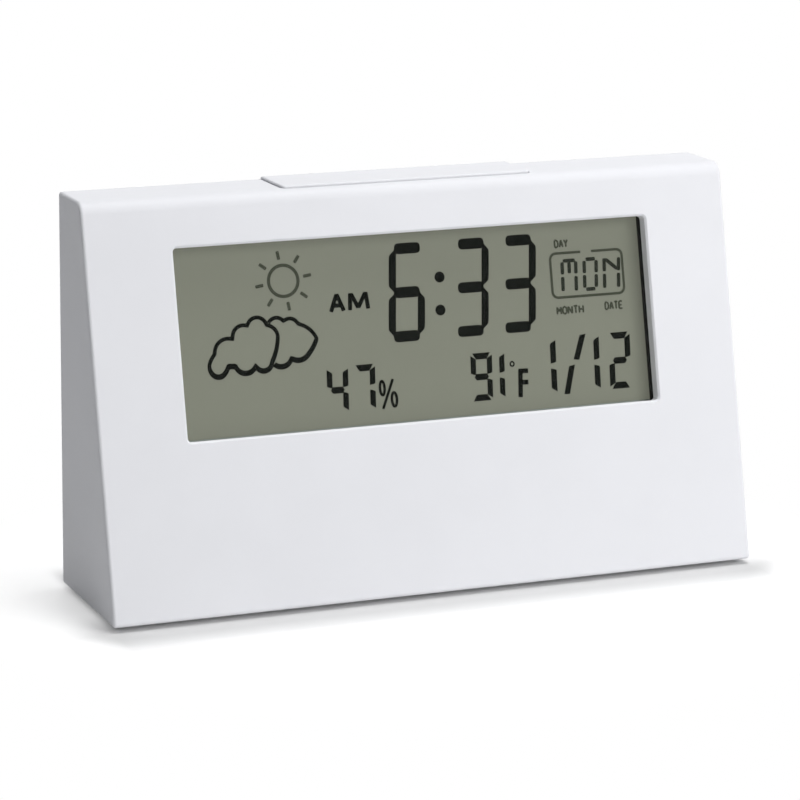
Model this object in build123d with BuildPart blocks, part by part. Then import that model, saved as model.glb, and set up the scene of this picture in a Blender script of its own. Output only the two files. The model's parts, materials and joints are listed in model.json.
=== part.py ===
from build123d import *
import os
from math import atan2, cos, hypot, pi, radians, sin, sqrt, tan

os.makedirs("parts", exist_ok=True)

# Desk clock with thermometer and hygrometer: a white wedge with a leaning display front.
# Millimetres. +Z is up, the front faces -Y, +X is the viewer's right.
# The origin lies under the middle of the clock, on the surface that it stands on.

# Case
case_width = 140.0
case_height = 82.0
base_depth = 36.0
top_depth = 14.8
front_setback = 18.0  # how far the front leans back from base to top
wall = 2.2
front_wall = 2.6
ridge_radius = 3.0  # front top edge
edge_radius = 0.7  # every other outer edge
rib = 1.2
boss_radius = 2.5

# Feet
foot_diameter = 8.0
foot_stand = 1.0
foot_recess = 0.8
foot_side_inset = 12.0
foot_end_inset = 8.0
foot_clearance = 0.15
foot_edge = 0.4

# Window, display and what carries it, stacked along the front's normal
window_side_margin = 18.4
window_top_margin = 10.15
window_bottom_margin = 35.2
window_corner_radius = 0.8
window_chamfer = 0.4
seat_side_margin = 2.4  # glass beyond the window
seat_top_margin = 2.0
seat_clearance = 0.2
lens_thickness = 1.0
gasket_thickness = 1.2
gasket_setback = 0.2  # the gasket's opening beyond the window
film_thickness = 0.2
film_inset = 1.2
glass_thickness = 1.1
contact_ledge = 2.6  # strip of the front glass below the rear glass
zebra_width = 1.6
zebra_inset = 0.3
rear_glass_inset = 1.0
guide_thickness = 2.0
guide_inset = 1.8
led_width = 1.4
led_length = 3.2
led_height = 1.8
ear_thickness = 1.6
board_thickness = 1.2
board_short = 8.6  # how much shorter the board is than the display's seat
board_margin = 2.7  # board beyond the middle of its fixing holes
board_low_fixing = 4.0  # fixing hole above the lower edge
board_high_fixing = 6.0  # fixing hole below the upper edge
board_drop = 0.6  # the board's lower edge below the glass

# Parts on the main board, placed from its middle
blob_radius = 6.5
blob_height = 1.8
blob_place = (-10.0, -3.5)
crystal_radius = 1.0
crystal_length = 6.0
crystal_lead_radius = 0.2
crystal_lead_pitch = 0.7
crystal_lead_run = 1.4
crystal_lift = 0.15
crystal_place = (12.0, -7.5)
buzzer_radius = 5.5
buzzer_height = 5.0
buzzer_port_radius = 0.9
buzzer_port_depth = 2.0
buzzer_rise = 1.5
buzzer_gap = 0.5  # to the end of the key board
sensor_width = 8.0
sensor_length = 10.0
sensor_thickness = 2.4
sensor_lift = 2.2
sensor_pin_radius = 0.3
sensor_pin_pitch = 5.0
sensor_slot_width = 0.9
sensor_slot_depth = 0.8
sensor_slot_count = 4
sensor_rise = -2.5
sensor_gap = 6.0  # to the end of the key board
thermistor_radius = 1.2
thermistor_lift = 3.0
thermistor_pin_radius = 0.25
thermistor_pin_pitch = 1.3
thermistor_offset = 8.0  # from the middle of the sensor
thermistor_rise = -9.5

# Press bar in the top, and its switch
snooze_length = 54.4
snooze_inset = 1.9  # behind the front top edge
snooze_proud = 0.5
snooze_sink = 1.6
snooze_travel = 0.5
snooze_gap = 0.3
snooze_rear_inset = 0.1
snooze_corner = 1.0
snooze_edge = 0.4
snooze_well_spare = 0.6
hook_thickness = 1.2
hook_reach = 0.9
hook_length = 6.0
hook_rest_gap = 0.08
post_width = 5.0
post_thickness = 1.6
snooze_switch_width = 7.0
snooze_switch_height = 4.0
snooze_switch_gap = 0.6  # to the rear cover
snooze_switch_inset = 0.4
snooze_plunger_width = 3.0
snooze_plunger_depth = 0.8
snooze_slot_gap = 0.35

# Rear cover
cover_thickness = 2.2
cover_gap = 0.25
cover_edge = 0.4
lip_thickness = 1.2
lip_depth = 3.0
lip_end_gap = 3.0
vent_length = 10.0
vent_width = 1.6
vent_pitch = 3.4
vent_count = 5
sound_hole_radius = 0.8
sound_hole_pitch = 3.2
sound_ring_count = 6

# Screws
screw_head_radius = 2.0
screw_head_height = 1.3
screw_head_edge = 0.6
screw_shank_radius = 1.0
case_screw_length = 8.0
board_screw_length = 6.0
key_screw_length = 4.5
screw_end_gap = 0.5
screw_clearance = 0.05
screw_hole_clearance = 0.25
screw_head_clearance = 0.25
screw_seat = 0.8  # cover left under a screw head
screw_edge = 3.3
screw_low = 10.0
screw_top_drop = 10.0
recess_length = 2.2
recess_width = 0.5
recess_depth = 0.6

# Rear keys, their switches and board
key_names = ("mode", "alarm", "up", "down", "unit")
key_pitch = 14.0
key_length = 9.0
key_height = 5.2
key_corner = 1.6
key_edge = 0.4
key_proud = 0.8
key_travel = 0.5
key_gap = 0.25
key_stop_gap = 0.05
key_flange = 0.9
key_flange_thickness = 0.8
switch_side = 6.0
switch_height = 2.6
switch_gap = 0.3
plunger_radius = 1.7
plunger_depth = 0.6
plunger_clearance = 0.15
key_board_height = 11.0
key_board_margin = 3.0
key_fixing_offset = 9.0  # fixing hole beyond the middle of the last key
key_boss_radius = 2.2

# Ribbon between the two boards
ribbon_width = 8.0
ribbon_thickness = 0.6
ribbon_bend = 1.2
ribbon_place = -22.0
ribbon_key_inset = 2.0
ribbon_pad_rise = 5.8  # above the main board's lower edge

# Battery bay: two cells side by side in a moulded tub
cell_diameter = 10.5
cell_length = 44.5
cell_nub_radius = 1.9
cell_nub_length = 1.0
cell_edge = 0.5
cell_gap = 0.4
trough_clearance = 0.4
bay_foot = 3.4  # bay above the cover's lower edge
tub_wall = 1.4
contact_thickness = 0.4
contact_radius = 4.6
contact_bridge_low = 1.0
contact_bridge_high = 4.0
contact_rib = 0.7
contact_rib_width = 3.0
contact_rib_root = 0.3  # sunk into the tub's wall
tail_width = 2.4
tail_reach = 3.0
tail_clearance = 0.15
spring_length = 5.0
spring_wire = 0.6
spring_base_radius = 3.6
spring_tip_radius = 2.3
spring_turns = 3

# Battery door
door_thickness = 1.6
door_seat_gap = 0.1
door_gap = 0.25
door_margin = 1.2
tab_width = 6.0
tab_inset = 7.0
tab_reach = 1.0
tab_thickness = 0.85
tab_neck = 1.0
tab_swing_room = 2.9
tongue_width = 12.0
tongue_length = 7.0
tongue_slit = 0.8
tongue_nose = 0.15
door_edge = 0.3
grip_count = 3
grip_width = 0.7
grip_pitch = 1.5
grip_depth = 0.5

# Battery leads
lead_radius = 0.5
lead_exit = 6.0
lead_rise = 8.0
lead_spread = 4.0
lead_approach = 6.0
lead_pad_rise = 6.0
lead_bend_share = 0.45  # of the shorter run that a bend takes up

# Levels, slopes and reference planes
body_bottom = foot_stand
body_top = foot_stand + case_height
inner_bottom = body_bottom + wall
inner_top = body_top - wall
inner_half_width = case_width / 2 - wall
rear_setback = base_depth - front_setback - top_depth
front_lean = atan2(front_setback, case_height)
rear_lean = atan2(rear_setback, case_height)
face_plane = Plane(
    origin=(0, -base_depth / 2, body_bottom),
    x_dir=(1, 0, 0),
    z_dir=(0, -cos(front_lean), sin(front_lean)),
)
rear_plane = Plane(
    origin=(0, base_depth / 2, body_bottom),
    x_dir=(-1, 0, 0),
    z_dir=(0, cos(rear_lean), sin(rear_lean)),
)
# Cross section of the back: x runs outwards, y runs up the rear cover, the normal is +X.
section_plane = Plane(origin=rear_plane.origin, x_dir=rear_plane.z_dir, z_dir=(1, 0, 0))


def front_y(z, depth=0.0):
    # Y of the surface that lies depth inside the front face, at height z
    return -base_depth / 2 + (z - body_bottom) * tan(front_lean) + depth / cos(front_lean)


def rear_y(z, depth=0.0):
    # Y of the surface that lies depth inside the back, at height z
    return base_depth / 2 - (z - body_bottom) * tan(rear_lean) - depth / cos(rear_lean)


def face_point(across, up, depth):
    return face_plane.from_local_coords(Vector(across, up, -depth))


def rear_point(across, up, depth):
    return rear_plane.from_local_coords(Vector(across, up, -depth))


def run_between(start, way, target):
    # Distance from a point, along a direction, to a plane
    return (target.origin - start).dot(target.z_dir) / way.dot(target.z_dir)


def write_piece(piece, name):
    piece.part.label = name
    export_step(piece.part, f"parts/{name}.step")


# Display stack: depths behind the front face, heights along its slope
face_length = hypot(case_height, front_setback)
window_top = face_length - window_top_margin
window_bottom = window_bottom_margin
window_middle = (window_top + window_bottom) / 2
window_width = case_width - 2 * window_side_margin
window_height = window_top - window_bottom
seat_width = window_width + 2 * seat_side_margin
seat_top = window_top + seat_top_margin
rear_glass_bottom = window_bottom - gasket_setback - seat_clearance
seat_bottom = rear_glass_bottom - contact_ledge
seat_height = seat_top - seat_bottom
seat_middle = (seat_top + seat_bottom) / 2
lens_back = front_wall + lens_thickness
gasket_back = lens_back + gasket_thickness
front_film_back = gasket_back + film_thickness
front_glass_back = front_film_back + glass_thickness
rear_glass_back = front_glass_back + glass_thickness
reflector_back = rear_glass_back + film_thickness
board_front = reflector_back + guide_thickness
board_back = board_front + board_thickness
ear_front = board_front - ear_thickness
frame_width = seat_width + 2 * (seat_clearance + rib)
frame_height = seat_height + 2 * (seat_clearance + rib)
frame_top = seat_middle + frame_height / 2
rear_glass_width = seat_width - 2 * rear_glass_inset
rear_glass_height = seat_top - rear_glass_bottom
board_height = seat_height - board_short
board_bottom = seat_bottom - board_drop
board_top = board_bottom + board_height
board_middle = (board_bottom + board_top) / 2
board_fixing_across = frame_width / 2 + seat_clearance + boss_radius
board_width = 2 * (board_fixing_across + board_margin)
board_fixings = [
    (side * board_fixing_across, height)
    for side in (-1, 1)
    for height in (board_bottom + board_low_fixing, board_top - board_high_fixing)
]
pilot_radius = screw_shank_radius + screw_clearance
hole_radius = screw_shank_radius + screw_hole_clearance

# Places on the back: heights along the rear cover, depths behind the back
cover_bottom = (inner_bottom + cover_gap - body_bottom) / cos(rear_lean)
case_screw_across = inner_half_width - cover_gap - screw_edge
case_screw_high = (case_height - screw_top_drop) / cos(rear_lean)
case_screw_heights = (screw_low, case_screw_high)
flange_back = cover_thickness + key_stop_gap + key_flange_thickness
switch_front = flange_back + key_travel + switch_gap
switch_back = switch_front + switch_height
key_board_back = switch_back + board_thickness
door_seat = door_thickness + door_seat_gap
cell_radius = cell_diameter / 2
cell_pitch = cell_diameter + cell_gap
trough_radius = cell_radius + trough_clearance
cell_depth = door_seat + trough_clearance + cell_radius
bay_bottom = cover_bottom + bay_foot
bay_height = cell_pitch + 2 * trough_radius
bay_middle = bay_bottom + bay_height / 2
bay_length = cell_length + spring_length + 2 * contact_thickness
bay_end = bay_length / 2 - contact_thickness
tub_depth = cell_depth + trough_radius + tub_wall
lower_cell = bay_bottom + trough_radius
upper_cell = lower_cell + cell_pitch
door_bottom = bay_bottom - door_margin
door_top = bay_bottom + bay_height + door_margin
door_middle = (door_bottom + door_top) / 2
door_length = bay_length + 2 * door_margin
door_height = door_top - door_bottom
tab_places = [side * (door_length / 2 - tab_inset) for side in (-1, 1)]

# Lips of the rear cover: along the sides between the screws, along the top beside the press bar,
# and along the bottom beside the battery door
cover_top = (inner_top - cover_gap - body_bottom) / cos(rear_lean)
side_lip_across = inner_half_width - cover_gap - lip_thickness / 2
side_lip_low = screw_low + boss_radius + lip_end_gap
side_lip_high = case_screw_high - boss_radius - lip_end_gap
end_lip_outer = case_screw_across - boss_radius - lip_end_gap
top_lip_inner = snooze_length / 2 + snooze_gap + hook_reach + lip_end_gap
bottom_lip_inner = door_length / 2 + lip_end_gap
bottom_lip_low = cover_bottom + (cover_thickness + lip_depth) * tan(rear_lean)

# Press bar: where its post passes between the display frame and the rear cover
frame_corner = face_point(0, frame_top, board_front)
post_y = (frame_corner.Y + rear_y(frame_corner.Z, cover_thickness)) / 2
snooze_switch_top = board_top - snooze_switch_inset
snooze_switch_low = snooze_switch_top - snooze_switch_height
snooze_switch_depth = run_between(
    face_point(0, snooze_switch_top, board_back),
    -face_plane.z_dir,
    rear_plane.offset(-cover_thickness - snooze_switch_gap),
)
snooze_switch_back = board_back + snooze_switch_depth
switch_top_z = body_bottom + (
    snooze_switch_top - (post_y + base_depth / 2) * sin(front_lean)
) / cos(front_lean)
snooze_plunger_top = switch_top_z + snooze_travel + switch_gap
snooze_plunger_bottom = switch_top_z - snooze_plunger_depth
snooze_front = front_y(body_top) + snooze_inset
snooze_bottom = body_top - snooze_sink

# Rear keys: one row, halfway between the battery door and the snooze switch
switch_underside = rear_plane.to_local_coords(face_point(0, snooze_switch_low, snooze_switch_back)).Y
key_row = (door_top + switch_underside) / 2
last_key_across = (len(key_names) - 1) / 2 * key_pitch
key_places = [(index * key_pitch - last_key_across, key_row) for index in range(len(key_names))]
key_fixing_across = last_key_across + key_fixing_offset
key_fixings = [(-key_fixing_across, key_row), (key_fixing_across, key_row)]
key_board_width = 2 * (key_fixing_across + key_board_margin)

# Parts on the main board that stand beside the key board
buzzer_place = (-(key_board_width / 2 + buzzer_gap + buzzer_radius), buzzer_rise)
sensor_place = (key_board_width / 2 + sensor_gap + sensor_width / 2, sensor_rise)
thermistor_place = (sensor_place[0] - thermistor_offset, thermistor_rise)

# Front housing: front, sides, top and bottom in one shell, open at the back
with BuildPart() as front_housing:
    with BuildSketch(Plane.YZ):
        with BuildLine():
            Polyline(
                (front_y(body_bottom), body_bottom),
                (front_y(body_top), body_top),
                (rear_y(body_top), body_top),
                (rear_y(body_bottom), body_bottom),
                close=True,
            )
        make_face()
    extrude(amount=case_width / 2, both=True)
    ridge = front_housing.edges().filter_by(Axis.X).group_by(Axis.Z)[-1].sort_by(Axis.Y)[0]
    fillet(ridge, ridge_radius)
    side_edges = front_housing.faces().filter_by(Axis.X).edges()
    base_edges = front_housing.edges().filter_by(Axis.X).group_by(Axis.Z)[0]
    rear_top_edge = front_housing.edges().filter_by(Axis.X).group_by(Axis.Z)[-1].sort_by(Axis.Y)[-1]
    fillet([*side_edges, *base_edges, rear_top_edge], edge_radius)
    # Hollow inside
    with BuildSketch(Plane.YZ):
        with BuildLine():
            Polyline(
                (front_y(inner_bottom, front_wall), inner_bottom),
                (front_y(inner_top, front_wall), inner_top),
                (base_depth, inner_top),
                (base_depth, inner_bottom),
                close=True,
            )
        make_face()
    extrude(amount=inner_half_width, both=True, mode=Mode.SUBTRACT)
    # Window with a broken edge
    with BuildSketch(face_plane):
        with Locations((0, window_middle)):
            RectangleRounded(window_width, window_height, window_corner_radius)
    extrude(amount=-2 * front_wall, mode=Mode.SUBTRACT)
    front_face = front_housing.faces().filter_by(face_plane).sort_by(Axis.Y)[0]
    chamfer(front_face.inner_wires()[0].edges(), window_chamfer)
    # Rib frame that holds the lens, the gasket and the front glass
    with BuildSketch(face_plane.offset(-front_wall)):
        with Locations((0, seat_middle)):
            Rectangle(frame_width, frame_height)
            Rectangle(
                seat_width + 2 * seat_clearance,
                seat_height + 2 * seat_clearance,
                mode=Mode.SUBTRACT,
            )
    extrude(amount=front_wall - front_glass_back)
    # Bosses for the main board
    with BuildSketch(face_plane.offset(-front_wall / 2)):
        with Locations(*board_fixings):
            Circle(boss_radius)
    extrude(amount=front_wall / 2 - ear_front)
    with BuildSketch(face_plane.offset(-ear_front)):
        with Locations(*board_fixings):
            Circle(pilot_radius)
    board_pilot_depth = board_screw_length + screw_end_gap - board_thickness - ear_thickness
    extrude(amount=board_pilot_depth, mode=Mode.SUBTRACT)
    # Bosses for the rear cover, tied to the side walls by webs
    for screw_height in case_screw_heights:
        boss_length = run_between(
            rear_point(0, screw_height, cover_thickness),
            -rear_plane.z_dir,
            face_plane.offset(-front_wall / 2),
        )
        web_length = inner_half_width + wall / 2 - case_screw_across
        with BuildSketch(rear_plane.offset(-cover_thickness)):
            for side in (-1, 1):
                with Locations((side * case_screw_across, screw_height)):
                    Circle(boss_radius)
                with Locations((side * (case_screw_across + web_length / 2), screw_height)):
                    Rectangle(web_length, rib)
        extrude(amount=-boss_length)
        with BuildSketch(rear_plane.offset(-cover_thickness)):
            with Locations((-case_screw_across, screw_height), (case_screw_across, screw_height)):
                Circle(pilot_radius)
        extrude(amount=screw_seat - case_screw_length - screw_end_gap, mode=Mode.SUBTRACT)
    # Opening for the press bar, run out through the back
    with BuildSketch(Plane.XY.offset(body_top)):
        with Locations((0, snooze_front - snooze_gap + base_depth / 2)):
            RectangleRounded(snooze_length + 2 * snooze_gap, base_depth, snooze_corner + snooze_gap)
    extrude(amount=-(snooze_sink + snooze_travel + snooze_well_spare), mode=Mode.SUBTRACT)
    # Shallow seats for the feet
    with BuildSketch(Plane.XY.offset(body_bottom)):
        with GridLocations(case_width - 2 * foot_side_inset, base_depth - 2 * foot_end_inset, 2, 2):
            Circle(foot_diameter / 2 + foot_clearance)
    extrude(amount=foot_recess, mode=Mode.SUBTRACT)
write_piece(front_housing, "front_housing")

# Feet: rubber pads in the seats
for depth_side, depth_name in ((-1, "front"), (1, "rear")):
    for side, side_name in ((-1, "left"), (1, "right")):
        foot_x = side * (case_width / 2 - foot_side_inset)
        foot_y = depth_side * (base_depth / 2 - foot_end_inset)
        with BuildPart() as foot:
            with BuildSketch(Plane.XY):
                with Locations((foot_x, foot_y)):
                    Circle(foot_diameter / 2)
            extrude(amount=foot_stand + foot_recess)
            fillet(foot.edges().group_by(Axis.Z)[0], foot_edge)
        write_piece(foot, f"foot_{depth_name}_{side_name}")


def face_plate(name, width, height, across, up, depth, thickness):
    # A flat rectangular piece parallel to the front face
    with BuildPart() as plate:
        with BuildSketch(face_plane.offset(-depth)):
            with Locations((across, up)):
                Rectangle(width, height)
        extrude(amount=-thickness)
    write_piece(plate, name)


film_width = seat_width - 2 * film_inset
film_height = rear_glass_height - film_inset
cell_middle = (seat_top + rear_glass_bottom) / 2
guide_width = rear_glass_width - guide_inset - film_inset / 2
guide_across = (guide_inset - film_inset / 2) / 2
led_across = guide_across - guide_width / 2 - (guide_inset - led_width) / 2 - led_width / 2
zebra_length = rear_glass_width - 2 * film_inset
zebra_middle = seat_bottom + zebra_inset + zebra_width / 2

# Display: lens, liquid-crystal cell with its films, light guide and lamp
face_plate("display_lens", seat_width, seat_height, 0, seat_middle, front_wall, lens_thickness)
face_plate("lcd_front_polariser", film_width, film_height, 0, cell_middle, gasket_back, film_thickness)
face_plate("lcd_front_glass", seat_width, seat_height, 0, seat_middle, front_film_back, glass_thickness)
face_plate(
    "lcd_rear_glass", rear_glass_width, rear_glass_height, 0, cell_middle, front_glass_back, glass_thickness
)
face_plate("lcd_reflector", film_width, film_height, 0, cell_middle, rear_glass_back, film_thickness)
face_plate(
    "light_guide", guide_width, film_height, guide_across, cell_middle, reflector_back, guide_thickness
)
led_front = board_front - led_height
face_plate("backlight_led", led_width, led_length, led_across, cell_middle, led_front, led_height)
zebra_thickness = board_front - front_glass_back
face_plate("zebra_strip", zebra_length, zebra_width, 0, zebra_middle, front_glass_back, zebra_thickness)

# Gasket: black frame between the lens and the display
with BuildPart() as display_gasket:
    with BuildSketch(face_plane.offset(-lens_back)):
        with Locations((0, seat_middle)):
            Rectangle(seat_width, seat_height)
        with Locations((0, window_middle)):
            Rectangle(
                window_width + 2 * gasket_setback, window_height + 2 * gasket_setback, mode=Mode.SUBTRACT
            )
    extrude(amount=-gasket_thickness)
write_piece(display_gasket, "display_gasket")

# Display frame: backs the front glass, boxes the rest, and is clamped under the board by four ears
with BuildPart() as display_frame:
    pocket_bottom = seat_bottom + zebra_inset - seat_clearance
    pocket_top = seat_top + seat_clearance
    with BuildSketch(face_plane.offset(-front_glass_back)):
        with Locations((0, seat_middle)):
            Rectangle(frame_width, frame_height)
    extrude(amount=front_glass_back - board_front)
    with BuildSketch(face_plane.offset(-ear_front)):
        with Locations(*board_fixings):
            Circle(boss_radius)
        for across, up in board_fixings:
            with Locations((across - (boss_radius + rib) / 2 * (1 if across > 0 else -1), up)):
                Rectangle(boss_radius + rib, 2 * boss_radius)
    extrude(amount=-ear_thickness)
    with BuildSketch(face_plane.offset(-front_glass_back)):
        with Locations((0, (pocket_bottom + pocket_top) / 2)):
            Rectangle(rear_glass_width + 2 * seat_clearance, pocket_top - pocket_bottom)
        with Locations(*board_fixings):
            Circle(hole_radius)
    extrude(amount=front_glass_back - board_front, mode=Mode.SUBTRACT)
write_piece(display_frame, "display_frame")

# Main board
with BuildPart() as main_board:
    with BuildSketch(face_plane.offset(-board_front)):
        with Locations((0, board_middle)):
            Rectangle(board_width, board_height)
        with Locations(*board_fixings):
            Circle(hole_radius, mode=Mode.SUBTRACT)
    extrude(amount=-board_thickness)
write_piece(main_board, "main_board")


def board_plane(place):
    # Plane on the back of the main board at a place, its normal pointing to the rear
    origin = face_point(place[0], board_middle + place[1], board_back)
    return Plane(origin=origin, x_dir=(1, 0, 0), z_dir=-face_plane.z_dir)


# Controller: a low dome of potting over the bare chip
blob_plane = board_plane(blob_place)
with BuildPart() as controller_blob:
    with BuildSketch(Plane(origin=blob_plane.origin, x_dir=(1, 0, 0), z_dir=-blob_plane.y_dir)):
        with BuildLine():
            Line((0, 0), (blob_radius, 0))
            TangentArc((0, blob_height), (blob_radius, 0), tangent=(1, 0))
            Line((0, blob_height), (0, 0))
        make_face()
    revolve(axis=Axis(blob_plane.origin, blob_plane.z_dir))
write_piece(controller_blob, "controller_blob")

# Watch crystal: a small can lying on the board on two bent leads
crystal_plane = board_plane(crystal_place)
crystal_level = crystal_radius + crystal_lift
with BuildPart() as quartz_crystal:
    crystal_foot = crystal_plane.from_local_coords((0, 0, crystal_level))
    with BuildSketch(Plane(origin=crystal_foot, z_dir=(1, 0, 0))):
        Circle(crystal_radius)
    extrude(amount=crystal_length)
    for lead_side in (-1, 1):
        lead_offset = lead_side * crystal_lead_pitch / 2
        lead_corners = [
            crystal_plane.from_local_coords((crystal_length - crystal_radius, lead_offset, crystal_level)),
            crystal_plane.from_local_coords((crystal_length + crystal_lead_run, lead_offset, crystal_level)),
            crystal_plane.from_local_coords((crystal_length + crystal_lead_run, lead_offset, 0)),
        ]
        with BuildLine():
            FilletPolyline(*lead_corners, radius=crystal_level / 2)
        with BuildSketch(Plane(origin=lead_corners[0], z_dir=(1, 0, 0))):
            Circle(crystal_lead_radius)
        sweep()
write_piece(quartz_crystal, "quartz_crystal")

# Buzzer with its sound port towards the rear cover
with BuildPart() as buzzer:
    with BuildSketch(board_plane(buzzer_place)):
        Circle(buzzer_radius)
    extrude(amount=buzzer_height)
    with BuildSketch(board_plane(buzzer_place).offset(buzzer_height)):
        Circle(buzzer_port_radius)
    extrude(amount=-buzzer_port_depth, mode=Mode.SUBTRACT)
write_piece(buzzer, "buzzer")

# Humidity sensor: a slotted box standing off the board on two pins
with BuildPart() as humidity_sensor:
    with BuildSketch(board_plane(sensor_place).offset(sensor_lift)):
        Rectangle(sensor_width, sensor_length)
    extrude(amount=sensor_thickness)
    slot_pitch = sensor_length / (sensor_slot_count + 1)
    with BuildSketch(board_plane(sensor_place).offset(sensor_lift + sensor_thickness)):
        with GridLocations(0, slot_pitch, 1, sensor_slot_count):
            SlotOverall(sensor_width - 2 * sensor_slot_width, sensor_slot_width)
    extrude(amount=-sensor_slot_depth, mode=Mode.SUBTRACT)
    with BuildSketch(board_plane(sensor_place)):
        with GridLocations(sensor_pin_pitch, 0, 2, 1):
            Circle(sensor_pin_radius)
    extrude(amount=sensor_lift)
write_piece(humidity_sensor, "humidity_sensor")

# Thermistor: a bead on two pins
with BuildPart() as thermistor:
    with BuildSketch(board_plane(thermistor_place)):
        with GridLocations(thermistor_pin_pitch, 0, 2, 1):
            Circle(thermistor_pin_radius)
    extrude(amount=thermistor_lift)
    with Locations(board_plane(thermistor_place).offset(thermistor_lift)):
        Sphere(thermistor_radius)
write_piece(thermistor, "thermistor")

# Snooze switch: stands on the board with its slot facing up
with BuildPart() as snooze_switch:
    with BuildSketch(face_plane.offset(-board_back)):
        with Locations((0, snooze_switch_top - snooze_switch_height / 2)):
            Rectangle(snooze_switch_width, snooze_switch_height)
    extrude(amount=-snooze_switch_depth)
    with BuildSketch(Plane.XY.offset(snooze_plunger_bottom - snooze_travel - switch_gap)):
        with Locations((0, post_y)):
            Rectangle(
                snooze_plunger_width + 2 * snooze_slot_gap, post_thickness + 2 * snooze_slot_gap
            )
    extrude(amount=snooze_switch_height, mode=Mode.SUBTRACT)
write_piece(snooze_switch, "snooze_switch")

with BuildPart() as snooze_plunger:
    with BuildSketch(Plane.XY.offset(snooze_plunger_bottom)):
        with Locations((0, post_y)):
            Rectangle(snooze_plunger_width, post_thickness)
    extrude(amount=snooze_plunger_top - snooze_plunger_bottom)
write_piece(snooze_plunger, "snooze_plunger")

# Press bar: plate in the top, a hook at each end under the top wall, a post down to the switch
with BuildPart() as snooze_bar:
    bar_top = body_top + snooze_proud
    with BuildSketch(Plane.YZ):
        with BuildLine():
            Polyline(
                (snooze_front, snooze_bottom),
                (snooze_front, bar_top),
                (rear_y(bar_top, snooze_rear_inset), bar_top),
                (rear_y(snooze_bottom, snooze_rear_inset), snooze_bottom),
                close=True,
            )
        make_face()
    extrude(amount=snooze_length / 2, both=True)
    fillet(snooze_bar.edges().filter_by(Axis.Z), snooze_corner)
    fillet(snooze_bar.faces().sort_by(Axis.Z)[-1].edges(), snooze_edge)
    hook_top = inner_top - hook_rest_gap
    hook_y = snooze_front + hook_length
    for side in (-1, 1):
        leg_x = side * (snooze_length / 2 - snooze_corner - hook_thickness / 2)
        hook_end = side * (snooze_length / 2 + snooze_gap + hook_reach)
        with BuildSketch(Plane.XY.offset(hook_top - hook_thickness)):
            with Locations((leg_x, hook_y)):
                Rectangle(hook_thickness, hook_length)
        extrude(amount=snooze_bottom - hook_top + hook_thickness)
        with BuildSketch(Plane.XY.offset(hook_top - hook_thickness)):
            with Locations(((leg_x + hook_end) / 2, hook_y)):
                Rectangle(abs(hook_end - leg_x), hook_length)
        extrude(amount=hook_thickness)
    with BuildSketch(Plane.XY.offset(snooze_plunger_top)):
        with Locations((0, post_y)):
            Rectangle(post_width, post_thickness)
    extrude(amount=snooze_bottom - snooze_plunger_top)
write_piece(snooze_bar, "snooze_bar")

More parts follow.
